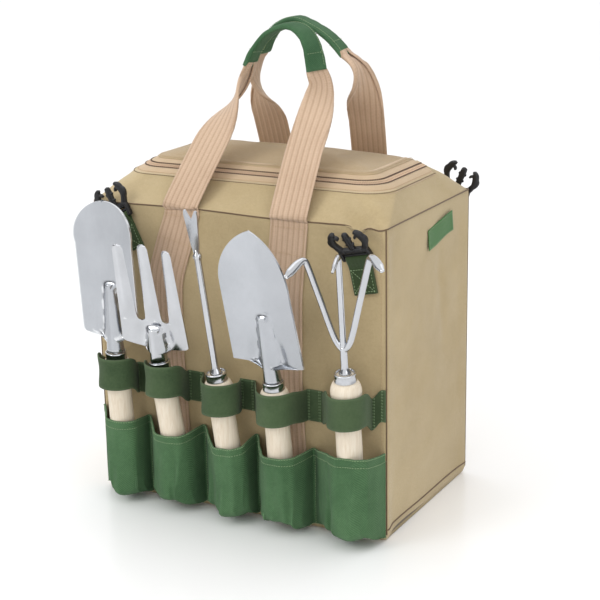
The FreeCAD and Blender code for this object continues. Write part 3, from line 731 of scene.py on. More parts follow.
def rounded_plan(half_x, half_y, front, back, along_x=84, along_y=52, corner=7):
    """A rounded rectangle, from the middle of the back and round by the left: points and normals."""
    points, normals = [], []
    corners = ((-1, 1), (-1, -1), (1, -1), (1, 1))
    for k, (sx, sy) in enumerate(corners):
        radius = back if sy > 0 else front
        cx, cy = sx * (half_x - radius), sy * (half_y - radius)
        start = 90 + 90 * k
        for step in range(corner):
            angle = math.radians(start + 90 * step / (corner - 1))
            normal = np.array((math.cos(angle), math.sin(angle)))
            points.append(np.array((cx, cy)) + radius * normal)
            normals.append(normal)
        nx, ny = corners[(k + 1) % 4]
        following = back if ny > 0 else front
        angle = math.radians(start + 90)
        normal = np.array((math.cos(angle), math.sin(angle)))
        a = points[-1]
        b = np.array((nx * (half_x - following), ny * (half_y - following))) + following * normal
        count = along_x if k % 2 else along_y
        for step in range(1, count):
            points.append(a + (b - a) * step / count)
            normals.append(normal)
    return np.array(points), np.array(normals)


def body_rows():
    """The outer surface of the bag's body, from the middle of its base to its top seam."""
    plan, normals = rounded_plan(HALF_W, HALF_D, 4.5, 4.5)
    base = [(share, 0.35) for share in (0.02, 0.3, 0.6, 0.8, 0.93, 0.98)]
    heights = np.concatenate([[1.2, 3.5, 7.0], np.linspace(12, HEIGHT - 4, 92), [HEIGHT - 1.6, HEIGHT]])
    rows = []
    for share, z in base:
        ring = plan * np.array((share, share))
        rows.append(np.column_stack([ring, np.full(len(ring), z)]))
    front, side = np.clip(-normals[:, 1], 0, 1) ** 2, normals[:, 0] ** 2
    back = np.clip(normals[:, 1], 0, 1) ** 2
    for z in heights:
        tuck = 2.6 * (1 - smooth_step(z / 7.0)) + 0.5 * smooth_step((z - HEIGHT + 3) / 3)
        level = np.full(len(plan), z)
        out = front * front_offset(plan[:, 0], level) + side * side_offset(plan[:, 1], level)
        out = out + back * back_offset(plan[:, 0], level) - tuck
        seam = top_seam_drop(plan[:, 0], plan[:, 1]) * smooth_step((z - HEIGHT + 40) / 40)
        rows.append(np.column_stack([plan + normals * out[:, None], level - seam]))
    return np.array(rows)


def top_seam_drop(x, y):
    """How far the top seam is pulled down, which shows at the front right corner."""
    front = smooth_step((-y - 60) / 35)
    return front * (5.5 * hump(x, 136, 8) + 2.5 * hump(x, 157, 7) + 0.8 * np.sin(x / 31.0))


def body():
    """The body as one canvas shell with its lining, its seams and its hem stitches."""
    rows = body_rows()
    shell = thicken(add_grid("bag_body", rows, [CANVAS, LINING], "bag", wrap=True), 2.4, True)
    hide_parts("front_panel", "back_panel", "left_side_panel", "right_side_panel", "bottom_panel")
    plan, normals = rounded_plan(HALF_W, HALF_D, 4.5, 4.5)
    corner_columns = [int(np.argmin(np.linalg.norm(plan - c, axis=1))) for c in
                      ((-HALF_W, HALF_D), (-HALF_W, -HALF_D), (HALF_W, -HALF_D), (HALF_W, HALF_D))]
    out = np.column_stack([normals, np.zeros(len(normals))])
    uprights = [rows[8:, k] + out[k] * 0.25 for k in corner_columns]
    rims = [np.concatenate([rows[i], rows[i][:1]]) + np.concatenate([out, out[:1]]) * 0.25 for i in (9, -1)]
    cords("body_seam_rolls", uprights + rims, 0.75, SEAM_THREAD, "bag")
    lines = []
    for side in (-1, 1):
        for row_x in (-HALF_W + 6, HALF_W - 6):
            z = np.linspace(8, HEIGHT - 5, 90)
            x = np.full_like(z, row_x)
            offset = front_offset(x, z) if side < 0 else back_offset(x, z)
            path = np.stack([x, side * (HALF_D + offset), z], 1)
            lines.append((path, DEPTHWAYS * side))
    stitches("body_edge_stitches", lines, 3.4, 2.5, 0.32, TAN_THREAD, "bag")


# ---------------------------------------------------------------- domed top


def level_at(t):
    """The domed top's outline at some level, smoothly between the named ones."""
    last = len(LEVELS) - 1
    k = int(min(max(math.floor(t), 0), last - 1))
    f = t - k
    padded = np.concatenate([[2 * LEVELS[0] - LEVELS[1]], LEVELS, [2 * LEVELS[-1] - LEVELS[-2]]])
    a, b, c, d = padded[k:k + 4]
    eased = 0.5 * (2 * b + (c - a) * f + (2 * a - 5 * b + 4 * c - d) * f**2 + (3 * b - a - 3 * c + d) * f**3)
    plain = b + (c - b) * f
    return 0.5 * eased + 0.5 * plain


LEVEL_TABLE = np.array([level_at(t) for t in np.linspace(0, 4, 161)])


def outside(x, y, level):
    """How far a place is outside a level's outline, in mm."""
    half_x, half_y, front, back, _ = level
    radius = np.where(y > 0, back, front)
    qx, qy = np.abs(x) - half_x + radius, np.abs(y) - half_y + radius
    return np.hypot(np.maximum(qx, 0), np.maximum(qy, 0)) + np.minimum(np.maximum(qx, qy), 0) - radius


def dome_height(x, y):
    """The height of the domed top at a place."""
    x, y = np.asarray(x, float), np.asarray(y, float)
    distances = np.array([outside(x, y, level) for level in LEVEL_TABLE])
    heights = LEVEL_TABLE[:, 4]
    reached = distances <= 0
    k = np.clip(reached.shape[0] - 1 - np.argmax(reached[::-1], 0), 0, len(heights) - 2)
    k = np.where(reached.any(0), k, 0)
    here = np.take_along_axis(distances, k[None], 0)[0]
    beyond = np.take_along_axis(distances, k[None] + 1, 0)[0]
    share = np.clip(-here / np.maximum(beyond - here, 1e-6), 0, 1)
    inner = np.take(distances[-1:], 0, 0)
    centre = np.clip(-inner / 6.0, 0, 1)
    return heights[k] + (heights[k + 1] - heights[k]) * share + 1.5 * smooth_step(centre)


def u_path(t, end_y, side=46, corner=14, front=96, end_right=None):
    """The front run of a level's outline with its two side runs, from back left to back right."""
    end_right = end_y if end_right is None else end_right
    half_x, half_y, radius, _, _ = level_at(t)
    left = [(-half_x, y) for y in np.linspace(end_y, -half_y + radius, side, endpoint=False)]
    turn_l = [(-half_x + radius * (1 - math.cos(a)), -half_y + radius * (1 - math.sin(a)))
              for a in np.linspace(0, math.pi / 2, corner, endpoint=False)]
    across = [(x, -half_y) for x in np.linspace(-half_x + radius, half_x - radius, front, endpoint=False)]
    turn_r = [(half_x - radius * (1 - math.sin(a)), -half_y + radius * (1 - math.cos(a)))
              for a in np.linspace(0, math.pi / 2, corner, endpoint=False)]
    right = [(half_x, y) for y in np.linspace(-half_y + radius, end_right, side)]
    return np.array(left + turn_l + across + turn_r + right)


def zip_strip(name, start, end, end_y, lift, material, body_name, rows=6, nodes=()):
    """One strip of the zip along the front and both sides."""
    grid = []
    for share in np.linspace(start, end, rows):
        path = u_path(1 + share, end_y, end_right=ZIP_RIGHT_Y)
        z = dome_height(path[:, 0], path[:, 1]) + lift
        grid.append(np.column_stack([path, z]))
    grid = np.array(grid)
    piece = thicken(add_grid(name, grid, material, body_name), 1.0)
    if nodes:
        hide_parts(*nodes)
    return piece


def zip_line(share, end_y, lift):
    """A line along the zip at some share of its width, and its upward normals."""
    path = u_path(1 + share, end_y, end_right=ZIP_RIGHT_Y)
    points = np.column_stack([path, dome_height(path[:, 0], path[:, 1]) + lift])
    inward = u_path(1 + share + 0.05, end_y, end_right=ZIP_RIGHT_Y)
    inner = np.column_stack([inward, dome_height(inward[:, 0], inward[:, 1]) + lift])
    across = unit(inner - points)
    along = unit(np.gradient(points, axis=0))
    normals = unit(np.cross(along, across))
    return points, across, normals * np.sign(normals[:, 2:3])


def zip_teeth(name, share, end_y, length, material, body_name):
    """A row of coil teeth."""
    points, across, normals = zip_line(share, end_y, 0.0)
    count = int(length_of(points) / 1.7)
    both = polyline_pair(points, across, count)
    normal = polyline_pair(points, normals, count)[1]
    return beads(name, both[0] + normal * 0.35, both[1], normal, length, 0.62, material, body_name)


def close_middle(piece, half_x, half_y):
    """Closes the slit at the middle of a piece made of rings, and faces it upwards."""
    work = bmesh.new()
    work.from_mesh(piece.data)
    bmesh.ops.remove_doubles(work, verts=work.verts, dist=0.00002)
    slit = [edge for edge in work.edges if edge.is_boundary
            and all(abs(v.co.x) < half_x and abs(v.co.y) < half_y for v in edge.verts)]
    for face in bmesh.ops.holes_fill(work, edges=slit)["faces"]:
        face.smooth = True
    bmesh.ops.recalc_face_normals(work, faces=work.faces)
    if sum(face.normal.z * face.calc_area() for face in work.faces) < 0:
        bmesh.ops.reverse_faces(work, faces=work.faces)
    work.to_mesh(piece.data)
    work.free()


def dome():
    """The canvas frame round the zip, the zip's tapes and teeth, and the lid."""
    inner_u = u_path(1.07, ZIP_END_Y, 30, 14, 84)
    step = [(148.0, ZIP_END_Y), (137.0, ZIP_END_Y + 0.4), (127.0, ZIP_END_Y + 1.0), (126.2, 58.0)]
    back = [(x, HINGE_Y + 0.5) for x in np.linspace(126.0, -126.0, 70)]
    mirrored = [(-x, y) for x, y in reversed(step)]
    inner = np.concatenate([inner_u[:-1], step, back, mirrored[:-1]])
    outer_u = u_path(0.0, 62.0, 30, 14, 84)
    rim = [(HALF_W, 62.0), (HALF_W, 78.0), (HALF_W, 95.0), (158.0, HALF_D)]
    far = [(x, HALF_D) for x in np.linspace(146.0, -146.0, 70)]
    outer = np.concatenate([outer_u[:-1], rim, far, [(-x, y) for x, y in reversed(rim)][:-1]])
    grid = []
    for share in np.linspace(0, 1, 16):
        plan = outer + (inner - outer) * share
        z = dome_height(plan[:, 0], plan[:, 1])
        place = np.column_stack([plan, z])
        free = math.sin(math.pi * share) ** 0.7
        z = z + free * (1.5 * wobble(place, 90.0, 31) - 0.6)
        fold = hump(plan[:, 0], 130, 22) * hump(plan[:, 1], -88, 14)
        z = z + free * 1.6 * fold * np.sin((plan[:, 0] + plan[:, 1]) / 5.0)
        z = z - (1 - smooth_step(share * 2.5)) * top_seam_drop(plan[:, 0], plan[:, 1])
        z = z + 1.3 * smooth_step((share - 0.8) / 0.2)
        grid.append(np.column_stack([plan, z]))
    grid = np.array(grid)
    collar = thicken(add_grid("top_canvas", grid, [CANVAS, LINING], "bag", wrap=True), 2.0, True)
    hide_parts("top_frame_front", "top_frame_left", "top_frame_right", "top_frame_back")

    outer_tape = zip_strip("zip_outer_tape", -0.03, 0.405, ZIP_END_Y, 0.5, TAPE, "bag",
                           nodes=("zip_tape_outer",))
    inner_tape = zip_strip("zip_inner_tape", 0.595, 1.03, TEETH_END_Y, 0.5, TAPE, "lid",
                           nodes=("zip_tape_inner",))
    outer_cord = zip_strip("zip_outer_cord", 0.40, 0.487, ZIP_END_Y, 0.1, TAPE, "bag", 3)
    inner_cord = zip_strip("zip_inner_cord", 0.513, 0.60, TEETH_END_Y, 0.1, TAPE, "lid", 3)
    outer_teeth = zip_teeth("zip_outer_coil", 0.462, ZIP_END_Y, 2.5, TEETH_THREAD, "bag")
    inner_teeth = zip_teeth("zip_inner_coil", 0.538, TEETH_END_Y, 2.5, TEETH_THREAD, "lid")
    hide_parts("zip_teeth_outer")
    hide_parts("zip_teeth_inner")

    points, _, normals = zip_line(0.0, ZIP_END_Y, 1.3)
    stitches("zip_edge_stitches", [(points, normals)], 2.6, 2.0, 0.45, SEAM_THREAD, "bag")
    # Rows of dark beads along each coil's outer edge: painted shade where the coil meets the tape.
    for name, share, end_y, body_name in (("zip_outer_shade_dots", 0.40, ZIP_END_Y, "bag"),
                                          ("zip_inner_shade_dots", 0.60, TEETH_END_Y, "lid")):
        points, _, normals = zip_line(share, end_y, 0.75)
        stitches(name, [(points, normals)], 2.4, 1.8, 0.75, ZIP_SHADE_DOTS, body_name)
    points, _, normals = zip_line(0.14, ZIP_END_Y, 0.75)
    stitches("zip_tape_stitches", [(points, normals)], 2.6, 1.9, 0.28, TAN_THREAD, "bag")
    points, _, normals = zip_line(0.90, TEETH_END_Y, 1.7)
    stitches("lid_edge_stitches", [(points, normals)], 2.6, 2.0, 0.3, TAN_THREAD, "lid")

    lid_u = u_path(1.83, TEETH_END_Y + 0.5, 30, 12, 70)
    strip = [(LID_HALF, TEETH_END_Y + 0.8), (LID_HALF, 45.0), (LID_HALF, 57.0)]
    hinge = [(x, HINGE_Y) for x in np.linspace(LID_HALF, -LID_HALF, 60)]
    rim = np.concatenate([lid_u, strip, hinge, [(-x, y) for x, y in reversed(strip)]])
    core = np.column_stack([np.clip(rim[:, 0], -70, 70), np.clip(rim[:, 1], 4.6, 5.4)])
    rows = []
    for share in np.linspace(0.0, 1.0, 34):
        plan = core + (rim - core) * share
        z = dome_height(plan[:, 0], plan[:, 1])
        place = np.column_stack([plan, z])
        free = math.sin(math.pi * min(1.0, share * 0.5 + 0.5)) ** 0.5 if share > 0 else 1.0
        z = z + free * (1.8 * wobble(place, 130.0, 41) + 0.6) + 1.4 * smooth_step((share - 0.85) / 0.15)
        z = z - 1.8 * free * hump(plan[:, 0] + 0.5 * plan[:, 1], 74, 9) * hump(plan[:, 1], -20, 30)
        z = z - 1.5 * free * hump(plan[:, 0], -88, 8) * hump(plan[:, 1], -4, 34)
        rows.append(np.column_stack([plan, z]))
    lid = add_grid("lid_canvas_panel", np.array(rows), [SHADED_LID_CANVAS, LINING], "lid", wrap=True)
    close_middle(lid, 0.0702, 0.006)
    thicken(lid, 2.0, True)
    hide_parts("lid_panel")
    x, y = np.linspace(-LID_HALF, LID_HALF, 90), np.full(90, HINGE_Y + 2.6)
    hinge_line = np.column_stack([x, y, dome_height(x, y) + 0.4])
    stitches("hinge_stitches", [(hinge_line, UP)], 2.8, 2.1, 0.35, TAN_THREAD, "bag")


# ---------------------------------------------------------------- webbing and handles


def webbing_section(width, thickness, crease, per_rib=8):
    """The closed outline of ribbed webbing in its own plane, its edges turned in beyond a crease.

    Returns the outline's points (across, out) and each point's place across the flat webbing.
    """
    count = RIBS * per_rib
    s = np.linspace(-STRAP_W / 2, STRAP_W / 2, count + 1)
    squeeze = width / STRAP_W
    turn = FOLD_TURN * smooth_step((np.abs(s) - crease) / FOLD_ROUND) * np.sign(s)
    middle = (s[1:] + s[:-1]) / 2
    heading = np.interp(middle, s, turn)
    x = np.concatenate([[0], np.cumsum(np.cos(heading) * np.diff(s))])
    y = np.concatenate([[0], np.cumsum(-np.sin(heading) * np.diff(s))])
    x, y = (x - np.interp(0, s, x)) * squeeze, y - np.interp(0, s, y)
    normal = np.stack([np.sin(turn), np.cos(turn)], 1)
    rib = np.abs(np.sin(math.pi * RIBS * (s / STRAP_W + 0.5))) ** 0.55
    half = thickness / 2 - RIB_DEPTH + RIB_DEPTH * rib
    half = half * np.where(np.abs(s) > STRAP_W / 2 - 0.6, 0.6, 1.0)
    line = np.stack([x, y], 1)
    outline = np.concatenate([line + normal * half[:, None], (line - normal * half[:, None])[::-1]])
    return outline, np.concatenate([s, s[::-1]]) + STRAP_W / 2


def webbing_piece(name, legs, body_name):
    """Legs of webbing in one piece; a leg's stations are (centre, across, out, width, thickness, fold)."""
    points, faces, uvs = [], [], []
    base = 0
    for stations in legs:
        rows, places, run, previous = [], [], 0.0, None
        for centre, across, out, width, thickness, crease in stations:
            outline, place = webbing_section(width, thickness, crease)
            rows.append(centre + outline[:, :1] * across + outline[:, 1:] * out)
            run += 0.0 if previous is None else float(np.linalg.norm(centre - previous))
            previous = centre
            places.append(np.column_stack([np.append(place, place[0]), np.full(len(place) + 1, run)]))
        grid, uv = np.array(rows), np.array(places)
        quads, corners = grid_quads(grid.shape[0], grid.shape[1], True)
        points.append(grid.reshape(-1, 3))
        faces.extend((quads + base).tolist())
        uvs.append(uv.reshape(-1, 2)[corners.ravel()])
        cols = grid.shape[1]
        base += grid.shape[0] * cols
        for row in (0, -1):
            points.append(grid[row])
            for k in range(cols // 2 - 1):
                quad = [base + k, base + k + 1, base + cols - 2 - k, base + cols - 1 - k]
                faces.append(quad if row else quad[::-1])
                uvs.append(np.zeros((4, 2)))
            base += cols
    return add_mesh(name, np.concatenate(points), faces, np.concatenate(uvs), WEBBING, body_name)


def sewn_legs(side, legs):
    """The stations of the two legs of webbing that lie on one panel."""
    result = []
    for leg in legs:
        height = np.array([p[1] for p in leg])[::-1]
        places = np.array([p[0] for p in leg])[::-1]
        z = np.linspace(3.0, SEW_Z, 120)
        eased = softened(np.stack([np.interp(z, height, places), z], 1), 24)
        stations = []
        for x, level in eased:
            offset = front_offset if side < 0 else back_offset
            below = np.array(min(level, 288.0))
            lie = max(float(offset(np.array(x + k), below)) for k in (-18.0, 0.0, 18.0))
            y = side * (HALF_D + max(lie, -1.0) + 1.15)
            slope = float(np.interp(level, height, np.gradient(places, height)))
            slope = slope * (1 - float(smooth_step((level - 270) / 34)))
            across = unit(np.array((1.0, 0.0, -slope)))
            centre = np.array((x, y, level))
            stations.append((centre, across * -side, DEPTHWAYS * side, STRAP_W, WEBBING_T, FLAT))
        result.append(stations)
    return result


def grip_frames(side, points, turn, count=44):
    """The line of a grip with the two directions across it: its width and its face."""
    arch = curve([(x, side * y, z) for (x, z), y in zip(points, ARCH_DEPTH)], count)
    along = unit(np.gradient(arch, axis=0))
    share = np.linspace(0, 1, count)
    turning = turn * np.maximum(0.0, 2 * share - 1)
    across = DEPTHWAYS + np.stack([turning, turning * 0, turning], 1)
    across = unit(across - along * (across * along).sum(1, keepdims=True))
    return arch, across, np.cross(along, across)


def grip(name, side, points, turn, body_name, node):
    """A flat quilted sleeve with hemmed ends and its stitch lines."""
    arch, across, face = grip_frames(side, points, turn)
    count = len(arch)
    share = np.linspace(0, 1, count)
    angles = np.linspace(0, 2 * math.pi, 40, endpoint=False)
    rows = []
    for i in range(count):
        end = min(share[i], 1 - share[i])
        hem = 1.0 + 0.10 * smooth_step(1 - end / 0.05)
        sag = 1.0 + 0.05 * math.sin(share[i] * 17.0)
        half_w = GRIP_W / 2 * (1.0 + 0.02 * math.sin(share[i] * 23.0))
        half_t = GRIP_T / 2 * hem * sag
        x = np.sign(np.cos(angles)) * np.abs(np.cos(angles)) ** 0.5 * half_w
        y = np.sign(np.sin(angles)) * np.abs(np.sin(angles)) ** 0.75 * half_t
        groove = 0.55 * hump(x, -side * GRIP_GROOVE, 1.1)
        y = y - np.sign(y) * groove
        rows.append(arch[i] + x[:, None] * across[i] + y[:, None] * face[i])
    rows = np.array(rows)
    crease = 0.35 * wobble(rows * np.array((1, 0.6, 1)), 14.0, 51, 2)
    rows = rows + grid_normals(rows, True) * crease[..., None]
    piece = add_grid(name, closed_rows(rows), GRIP, body_name, wrap=True)
    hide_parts(node)
    lines = []
    outer = np.sign((face[count // 2] * UP).sum()) or 1.0
    for way in (outer, -outer):
        path = arch + across * (-side * GRIP_GROOVE) + face * (GRIP_T / 2 * 0.93 * way)
        lines.append((path[2:-2], face[2:-2] * way))
    for at in (6, count - 7):
        for way in (outer, -outer):
            width = np.linspace(-GRIP_W / 2 + 2, GRIP_W / 2 - 2, 12)
            path = arch[at] + width[:, None] * across[at] + face[at] * (GRIP_T / 2 * way)
            lines.append((path, face[at] * way))
    thread_piece = stitches(name + "_stitches", lines, 2.5, 1.9, 0.33, GREEN_THREAD, body_name)
    return [piece, thread_piece]


def free_legs(side, legs, points, turn):
    """The stations of the two legs of free webbing between the bag and a grip."""
    arch, across, _ = grip_frames(side, points, turn)
    result = []
    for sewn, here, beyond in zip(sewn_legs(side, legs), (0, -1), (3, -4)):
        tip = arch[here] + unit(arch[beyond] - arch[here]) * 5.0
        foot = sewn[-1][0]
        rise = foot + UP * 12.0
        away = unit(arch[here] - arch[beyond])
        near = arch[here] + away * 22.0
        middle = rise + (near - rise) * 0.5 + np.array((0.0, side * 3.0, 0.0))
        path = curve([foot, foot + UP * 5.0, rise, middle, near, arch[here], tip], 76)
        run = np.concatenate([[0], np.cumsum(np.linalg.norm(np.diff(path, axis=0), axis=1))])
        share = run / run[-1]
        along = unit(np.gradient(path, axis=0))
        sign = -1.0 if here == 0 else 1.0
        target = across[here] * sign * -side
        stations = []
        for i, t in enumerate(share):
            turned = float(smooth_step((t - 0.45) / 0.5))
            wide = SIDEWAYS * -side * (1 - turned) + target * turned
            wide = unit(wide - along[i] * wide.dot(along[i]))
            out = np.cross(wide, along[i])
            out = out if (out * DEPTHWAYS * side).sum() * (1 - turned) >= -0.3 else out
            crease = float(np.interp(t, CREASE_AT, CREASES))
            stations.append((path[i], wide, out, STRAP_W, WEBBING_T, crease))
        result.append(stations)
    return result


def straps_and_handles():
    """The sewn straps, and each handle's webbing and grip."""
    for name, side, legs, points, turn in (
        ("front", -1, FRONT_LEGS, FRONT_ARCH, 0.45),
        ("back", 1, BACK_LEGS, BACK_ARCH, 0.0),
    ):
        sewn = webbing_piece(name + "_sewn_webbing", sewn_legs(side, legs), "bag")
        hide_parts(name + "_strap_sewn")
        lines = []
        for stations in sewn_legs(side, legs):
            for edge in (-STRAP_W / 2 + 2.2, STRAP_W / 2 - 2.2):
                path = np.array([c + a * edge + o * 1.15 for c, a, o, _, _, _ in stations])
                lines.append((path, DEPTHWAYS * side))
            for shift in (-2, -12):
                centre, across, out = stations[shift][:3]
                bar = centre + np.linspace(-17, 17, 14)[:, None] * across + out * 1.2
                lines.append((bar, DEPTHWAYS * side))
        stitches(name + "_strap_stitches", lines, 2.8, 2.0, 0.3, TAN_THREAD, "bag")
        body_name = name + "_handle"
        free = webbing_piece(name + "_free_webbing", free_legs(side, legs, points, turn), body_name)
        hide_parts(name + "_handle_webbing")
        soft = [free] + grip(name + "_grip", side, points, turn, body_name, name + "_handle_grip")
        for piece in soft:
            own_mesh(piece)


# ---------------------------------------------------------------- pockets and loops


def hull(points):
    """The convex hull of plan points, counter-clockwise."""
    points = sorted(map(tuple, points))

    def half(order):
        chain = []
        for p in order:
            while len(chain) > 1:
                (ax, ay), (bx, by) = chain[-2:]
                if (bx - ax) * (p[1] - ay) - (by - ay) * (p[0] - ax) > 1e-9:
                    break
                chain.pop()
            chain.append(p)
        return chain[:-1]

    return half(points) + half(points[::-1])


def string_round(x0, x1, circles, y=-HALF_D):
    """The line of a cloth pulled from one place on the panel, round some circles, to another."""
    points = [(x0, y), (x1, y)]
    for cx, cy, r in circles:
        points += [(cx + r * math.cos(a), cy + r * math.sin(a)) for a in np.linspace(0, 2 * math.pi, 72)]
    ring = [p for p in hull(points) if p[1] <= y + 1e-6]
    start = ring.index((x0, y))
    ring = ring[start:] + ring[:start]
    return np.array(ring[:ring.index((x1, y)) + 1])


def pockets():
    """The gathered pocket strip: five pockets with a hem, pleats and stitched dividers."""
    radius = POCKET_CORNER_R
    centre_y = POCKET_FRONT_Y + 1.6 + radius
    plan, across = [], []
    for k, (x0, x1) in enumerate(zip(POCKET_EDGES, POCKET_EDGES[1:])):
        left, right = POCKET_FRONTS[k]
        line = string_round(x0 + 0.6, x1 - 0.6, [(left + radius, centre_y, radius + 0.9),
                                                 (right - radius, centre_y, radius + 0.9)])
        line = softened(polyline(line, 64), 10)
        line = np.concatenate([[(x0 + 0.3, -HALF_D - 1.0)], line[1:-1], [(x1 - 0.3, -HALF_D - 1.0)]])
        plan.append(line)
        across.append(np.linspace(0, 1, len(line)))
    plan, across = np.concatenate(plan), np.concatenate(across)
    run = np.concatenate([[0], np.cumsum(np.linalg.norm(np.diff(plan, axis=0), axis=1))])
    depth = -HALF_D - plan[:, 1]
    outward = np.clip(depth / POCKET_DEPTH, 0, 1)
    edge_top = np.interp(plan[:, 0], POCKET_EDGES, POCKET_EDGE_TOPS)
    mouth = np.repeat(POCKET_MOUTHS, len(plan) // len(POCKET_MOUTHS))
    high = edge_top + (mouth - edge_top) * smooth_step(outward) + 1.2 * np.sin(run / 17.0 + 1.0) * outward
    low = POCKET_LOW + (2.4 * np.sin(run / 12.0) + 1.1 * np.sin(run / 5.3) + 1.0) * outward
    rows = []
    # Each row's rise round the turned-in bottom, how far it stands out, and its share of the height above
    turns = [(POCKET_TURN * (1 - math.cos(a)), max(math.sin(a), 0.06), 0.0)
             for a in np.linspace(0, math.pi / 2, 11)]
    shares = np.concatenate([np.linspace(0, 0.885, 28)[1:], np.linspace(0.905, 1, 9)])
    for rise, filled, share in turns + [(POCKET_TURN, 1.0, share) for share in shares]:
        z = low + rise + (high - low - rise) * share
        gather = 1 - share
        along = np.column_stack([run, z * 0.16, run * 0])
        pleat = wobble(along, 24.0, 61, 3)
        amount = (1.2 + 4.4 * gather**1.5) * outward**0.6 * filled**0.5
        tight = filled * (1.0 - 0.06 * gather * np.sin(math.pi * across))
        hem = 0.8 if share >= 0.9 else 0.0
        y = -HALF_D - 0.9 - (depth - 0.9) * tight - hem + amount * (pleat - 0.1)
        y = np.minimum(y, -HALF_D - 0.9)
        x = plan[:, 0] + 0.8 * amount * wobble(along + 40, 30.0, 62, 2) * outward
        rows.append(np.column_stack([x, y, z]))
    grid = np.array(rows)
    piece = thicken(add_grid("pocket_strip", grid, POCKET, "bag"), 1.2)
    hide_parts(*["pocket_" + tool[0] for tool in TOOLS])
    normals = -grid_normals(grid)
    normals = normals * np.where(normals[..., 1:2] > 0, -1, 1)
    hem_row = len(turns) + 26
    lines = [(grid[hem_row] + normals[hem_row] * 0.25, normals[hem_row])]
    lines.append((grid[-2] + normals[-2] * 0.25, normals[-2]))
    lines.append((grid[1] + normals[1] * 0.25, normals[1]))
    for x in POCKET_EDGES[1:-1]:
        z = np.linspace(7, 86, 40)
        for shift in (-1.6, 1.6):
            lines.append((np.stack([z * 0 + x + shift, z * 0 - HALF_D - 1.6, z], 1), -DEPTHWAYS))
    sewn = stitches("pocket_stitches", lines, 2.6, 1.9, 0.33, GREEN_THREAD, "bag")


def loop_band():
    """The band of loops that holds the tool handles, with pairs of stitch lines between them."""
    low, high = LOOP_Z
    plan = []
    middle_y = TOOL_Y - (AXIS_Z - AXIS_SHIFT) * math.tan(math.radians(TILT))
    for (x0, x1), tool in zip(LOOP_SPANS, TOOLS):
        line = string_round(x0, x1, [(tool[1], middle_y, LOOP_R)])
        plan.append(softened(polyline(line, 60), 4))
    pieces = [np.array([(-164.0, -HALF_D - 1.0)])]
    for line in plan:
        line[:, 1] = np.minimum(line[:, 1], -HALF_D - 1.0)
        pieces.append(line)
    pieces.append(np.array([(157.0, -HALF_D - 1.0), (163.5, -HALF_D - 1.0)]))
    path = polyline(np.concatenate(pieces), 470)
    run = np.concatenate([[0], np.cumsum(np.linalg.norm(np.diff(path, axis=0), axis=1))])
    outward = np.clip((-HALF_D - 1 - path[:, 1]) / LOOP_DEPTH, 0, 1)
    starts = [span[0] for span in LOOP_SPANS] + [LOOP_SPANS[-1][1]]
    entered = np.searchsorted(run, [run[np.argmax((path[:, 0] > x) & (outward < 0.02))] for x in starts])
    own = np.clip(np.searchsorted(entered, np.arange(len(run)), side="right") - 1, 0, len(LOOP_LIFTS) - 1)
    lift = np.array(LOOP_LIFTS)[own] * smooth_step(outward * 1.1)
    lift = lift + LOOP_END_LIFT * smooth_step((path[:, 0] - 148) / 12) * (1 - smooth_step(outward))
    rows = []
    for share in np.linspace(0, 1, 15):
        z = low + lift + (high - low) * share + 0.8 * np.sin(run / 26.0) * outward
        ease = 1.0 + 0.02 * math.cos(share * 2 * math.pi)
        crease = wobble(np.column_stack([run, z * 0.5, run * 0]), 42.0, 71, 2)
        forward = np.maximum(lift, 0) * math.tan(math.radians(TILT)) * outward
        y = -HALF_D - 1 + (path[:, 1] + HALF_D + 1) * ease - 0.5 * outward + 0.6 * crease * outward
        y = y - forward
        rows.append(np.column_stack([path[:, 0], np.minimum(y, -HALF_D - 1), z]))
    grid = np.array(rows)
    piece = thicken(add_grid("loop_strip", grid, BAND, "bag"), 1.4)
    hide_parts(*["loop_" + tool[0] for tool in TOOLS])
    lines = []
    for pair in LOOP_STITCHES:
        for x in (pair[0] + 1.6, pair[1] - 1.6):
            raised = LOOP_END_LIFT * float(smooth_step((x - 148) / 12))
            z = np.linspace(low + 1, high - 1, 20) + raised
            for shift in (-0.7, 0.7):
                lines.append((np.stack([z * 0 + x + shift, z * 0 - HALF_D - 1.5, z], 1), -DEPTHWAYS))
    sewn = stitches("loop_stitches", lines, 2.6, 1.9, 0.3, GREEN_THREAD, "bag")


# ---------------------------------------------------------------- tools


def tool_place(tool):
    """The placement of a tool made upright about its own axis."""
    _, x, lean, butt, twist = tool
    tilt, side = math.radians(TILT), math.radians(lean)
    along = Vector((math.sin(side) * math.cos(tilt), -math.sin(tilt), math.cos(side) * math.cos(tilt)))
    middle = Vector((x, TOOL_Y - (AXIS_Z - AXIS_SHIFT) * math.tan(tilt), AXIS_Z))
    foot = middle + along * ((butt - AXIS_Z) / along.z)
    turn = Vector((0, 0, 1)).rotation_difference(along).to_matrix().to_4x4()
    return Matrix.Translation(foot) @ turn @ Matrix.Rotation(math.radians(twist), 4, "Z")


def set_place(name):
    """How a pressed blade is set on its tang."""
    forwards, right = BLADE_SET[name]
    root = Matrix.Translation((0, 0, TOP))
    set_x = Matrix.Rotation(math.radians(forwards), 4, "X")
    set_y = Matrix.Rotation(math.radians(right), 4, "Y")
    return root @ set_y @ set_x @ root.inverted()


def arc_points(a, b, c, count=14):
    """Points on the arc from a through b to c, without c."""
    (ax, ay), (bx, by), (cx, cy) = a, b, c
    d = 2 * (ax * (by - cy) + bx * (cy - ay) + cx * (ay - by))
    ux = ((ax**2 + ay**2) * (by - cy) + (bx**2 + by**2) * (cy - ay) + (cx**2 + cy**2) * (ay - by)) / d
    uy = ((ax**2 + ay**2) * (cx - bx) + (bx**2 + by**2) * (ax - cx) + (cx**2 + cy**2) * (bx - ax)) / d
    r = math.hypot(ax - ux, ay - uy)
    start, through, end = (math.atan2(q - uy, p - ux) for p, q in (a, b, c))
    span = (end - start) % (2 * math.pi)
    if (through - start) % (2 * math.pi) > span:
        span -= 2 * math.pi
    return [(ux + r * math.cos(start + span * k / count), uy + r * math.sin(start + span * k / count))
            for k in range(count)]


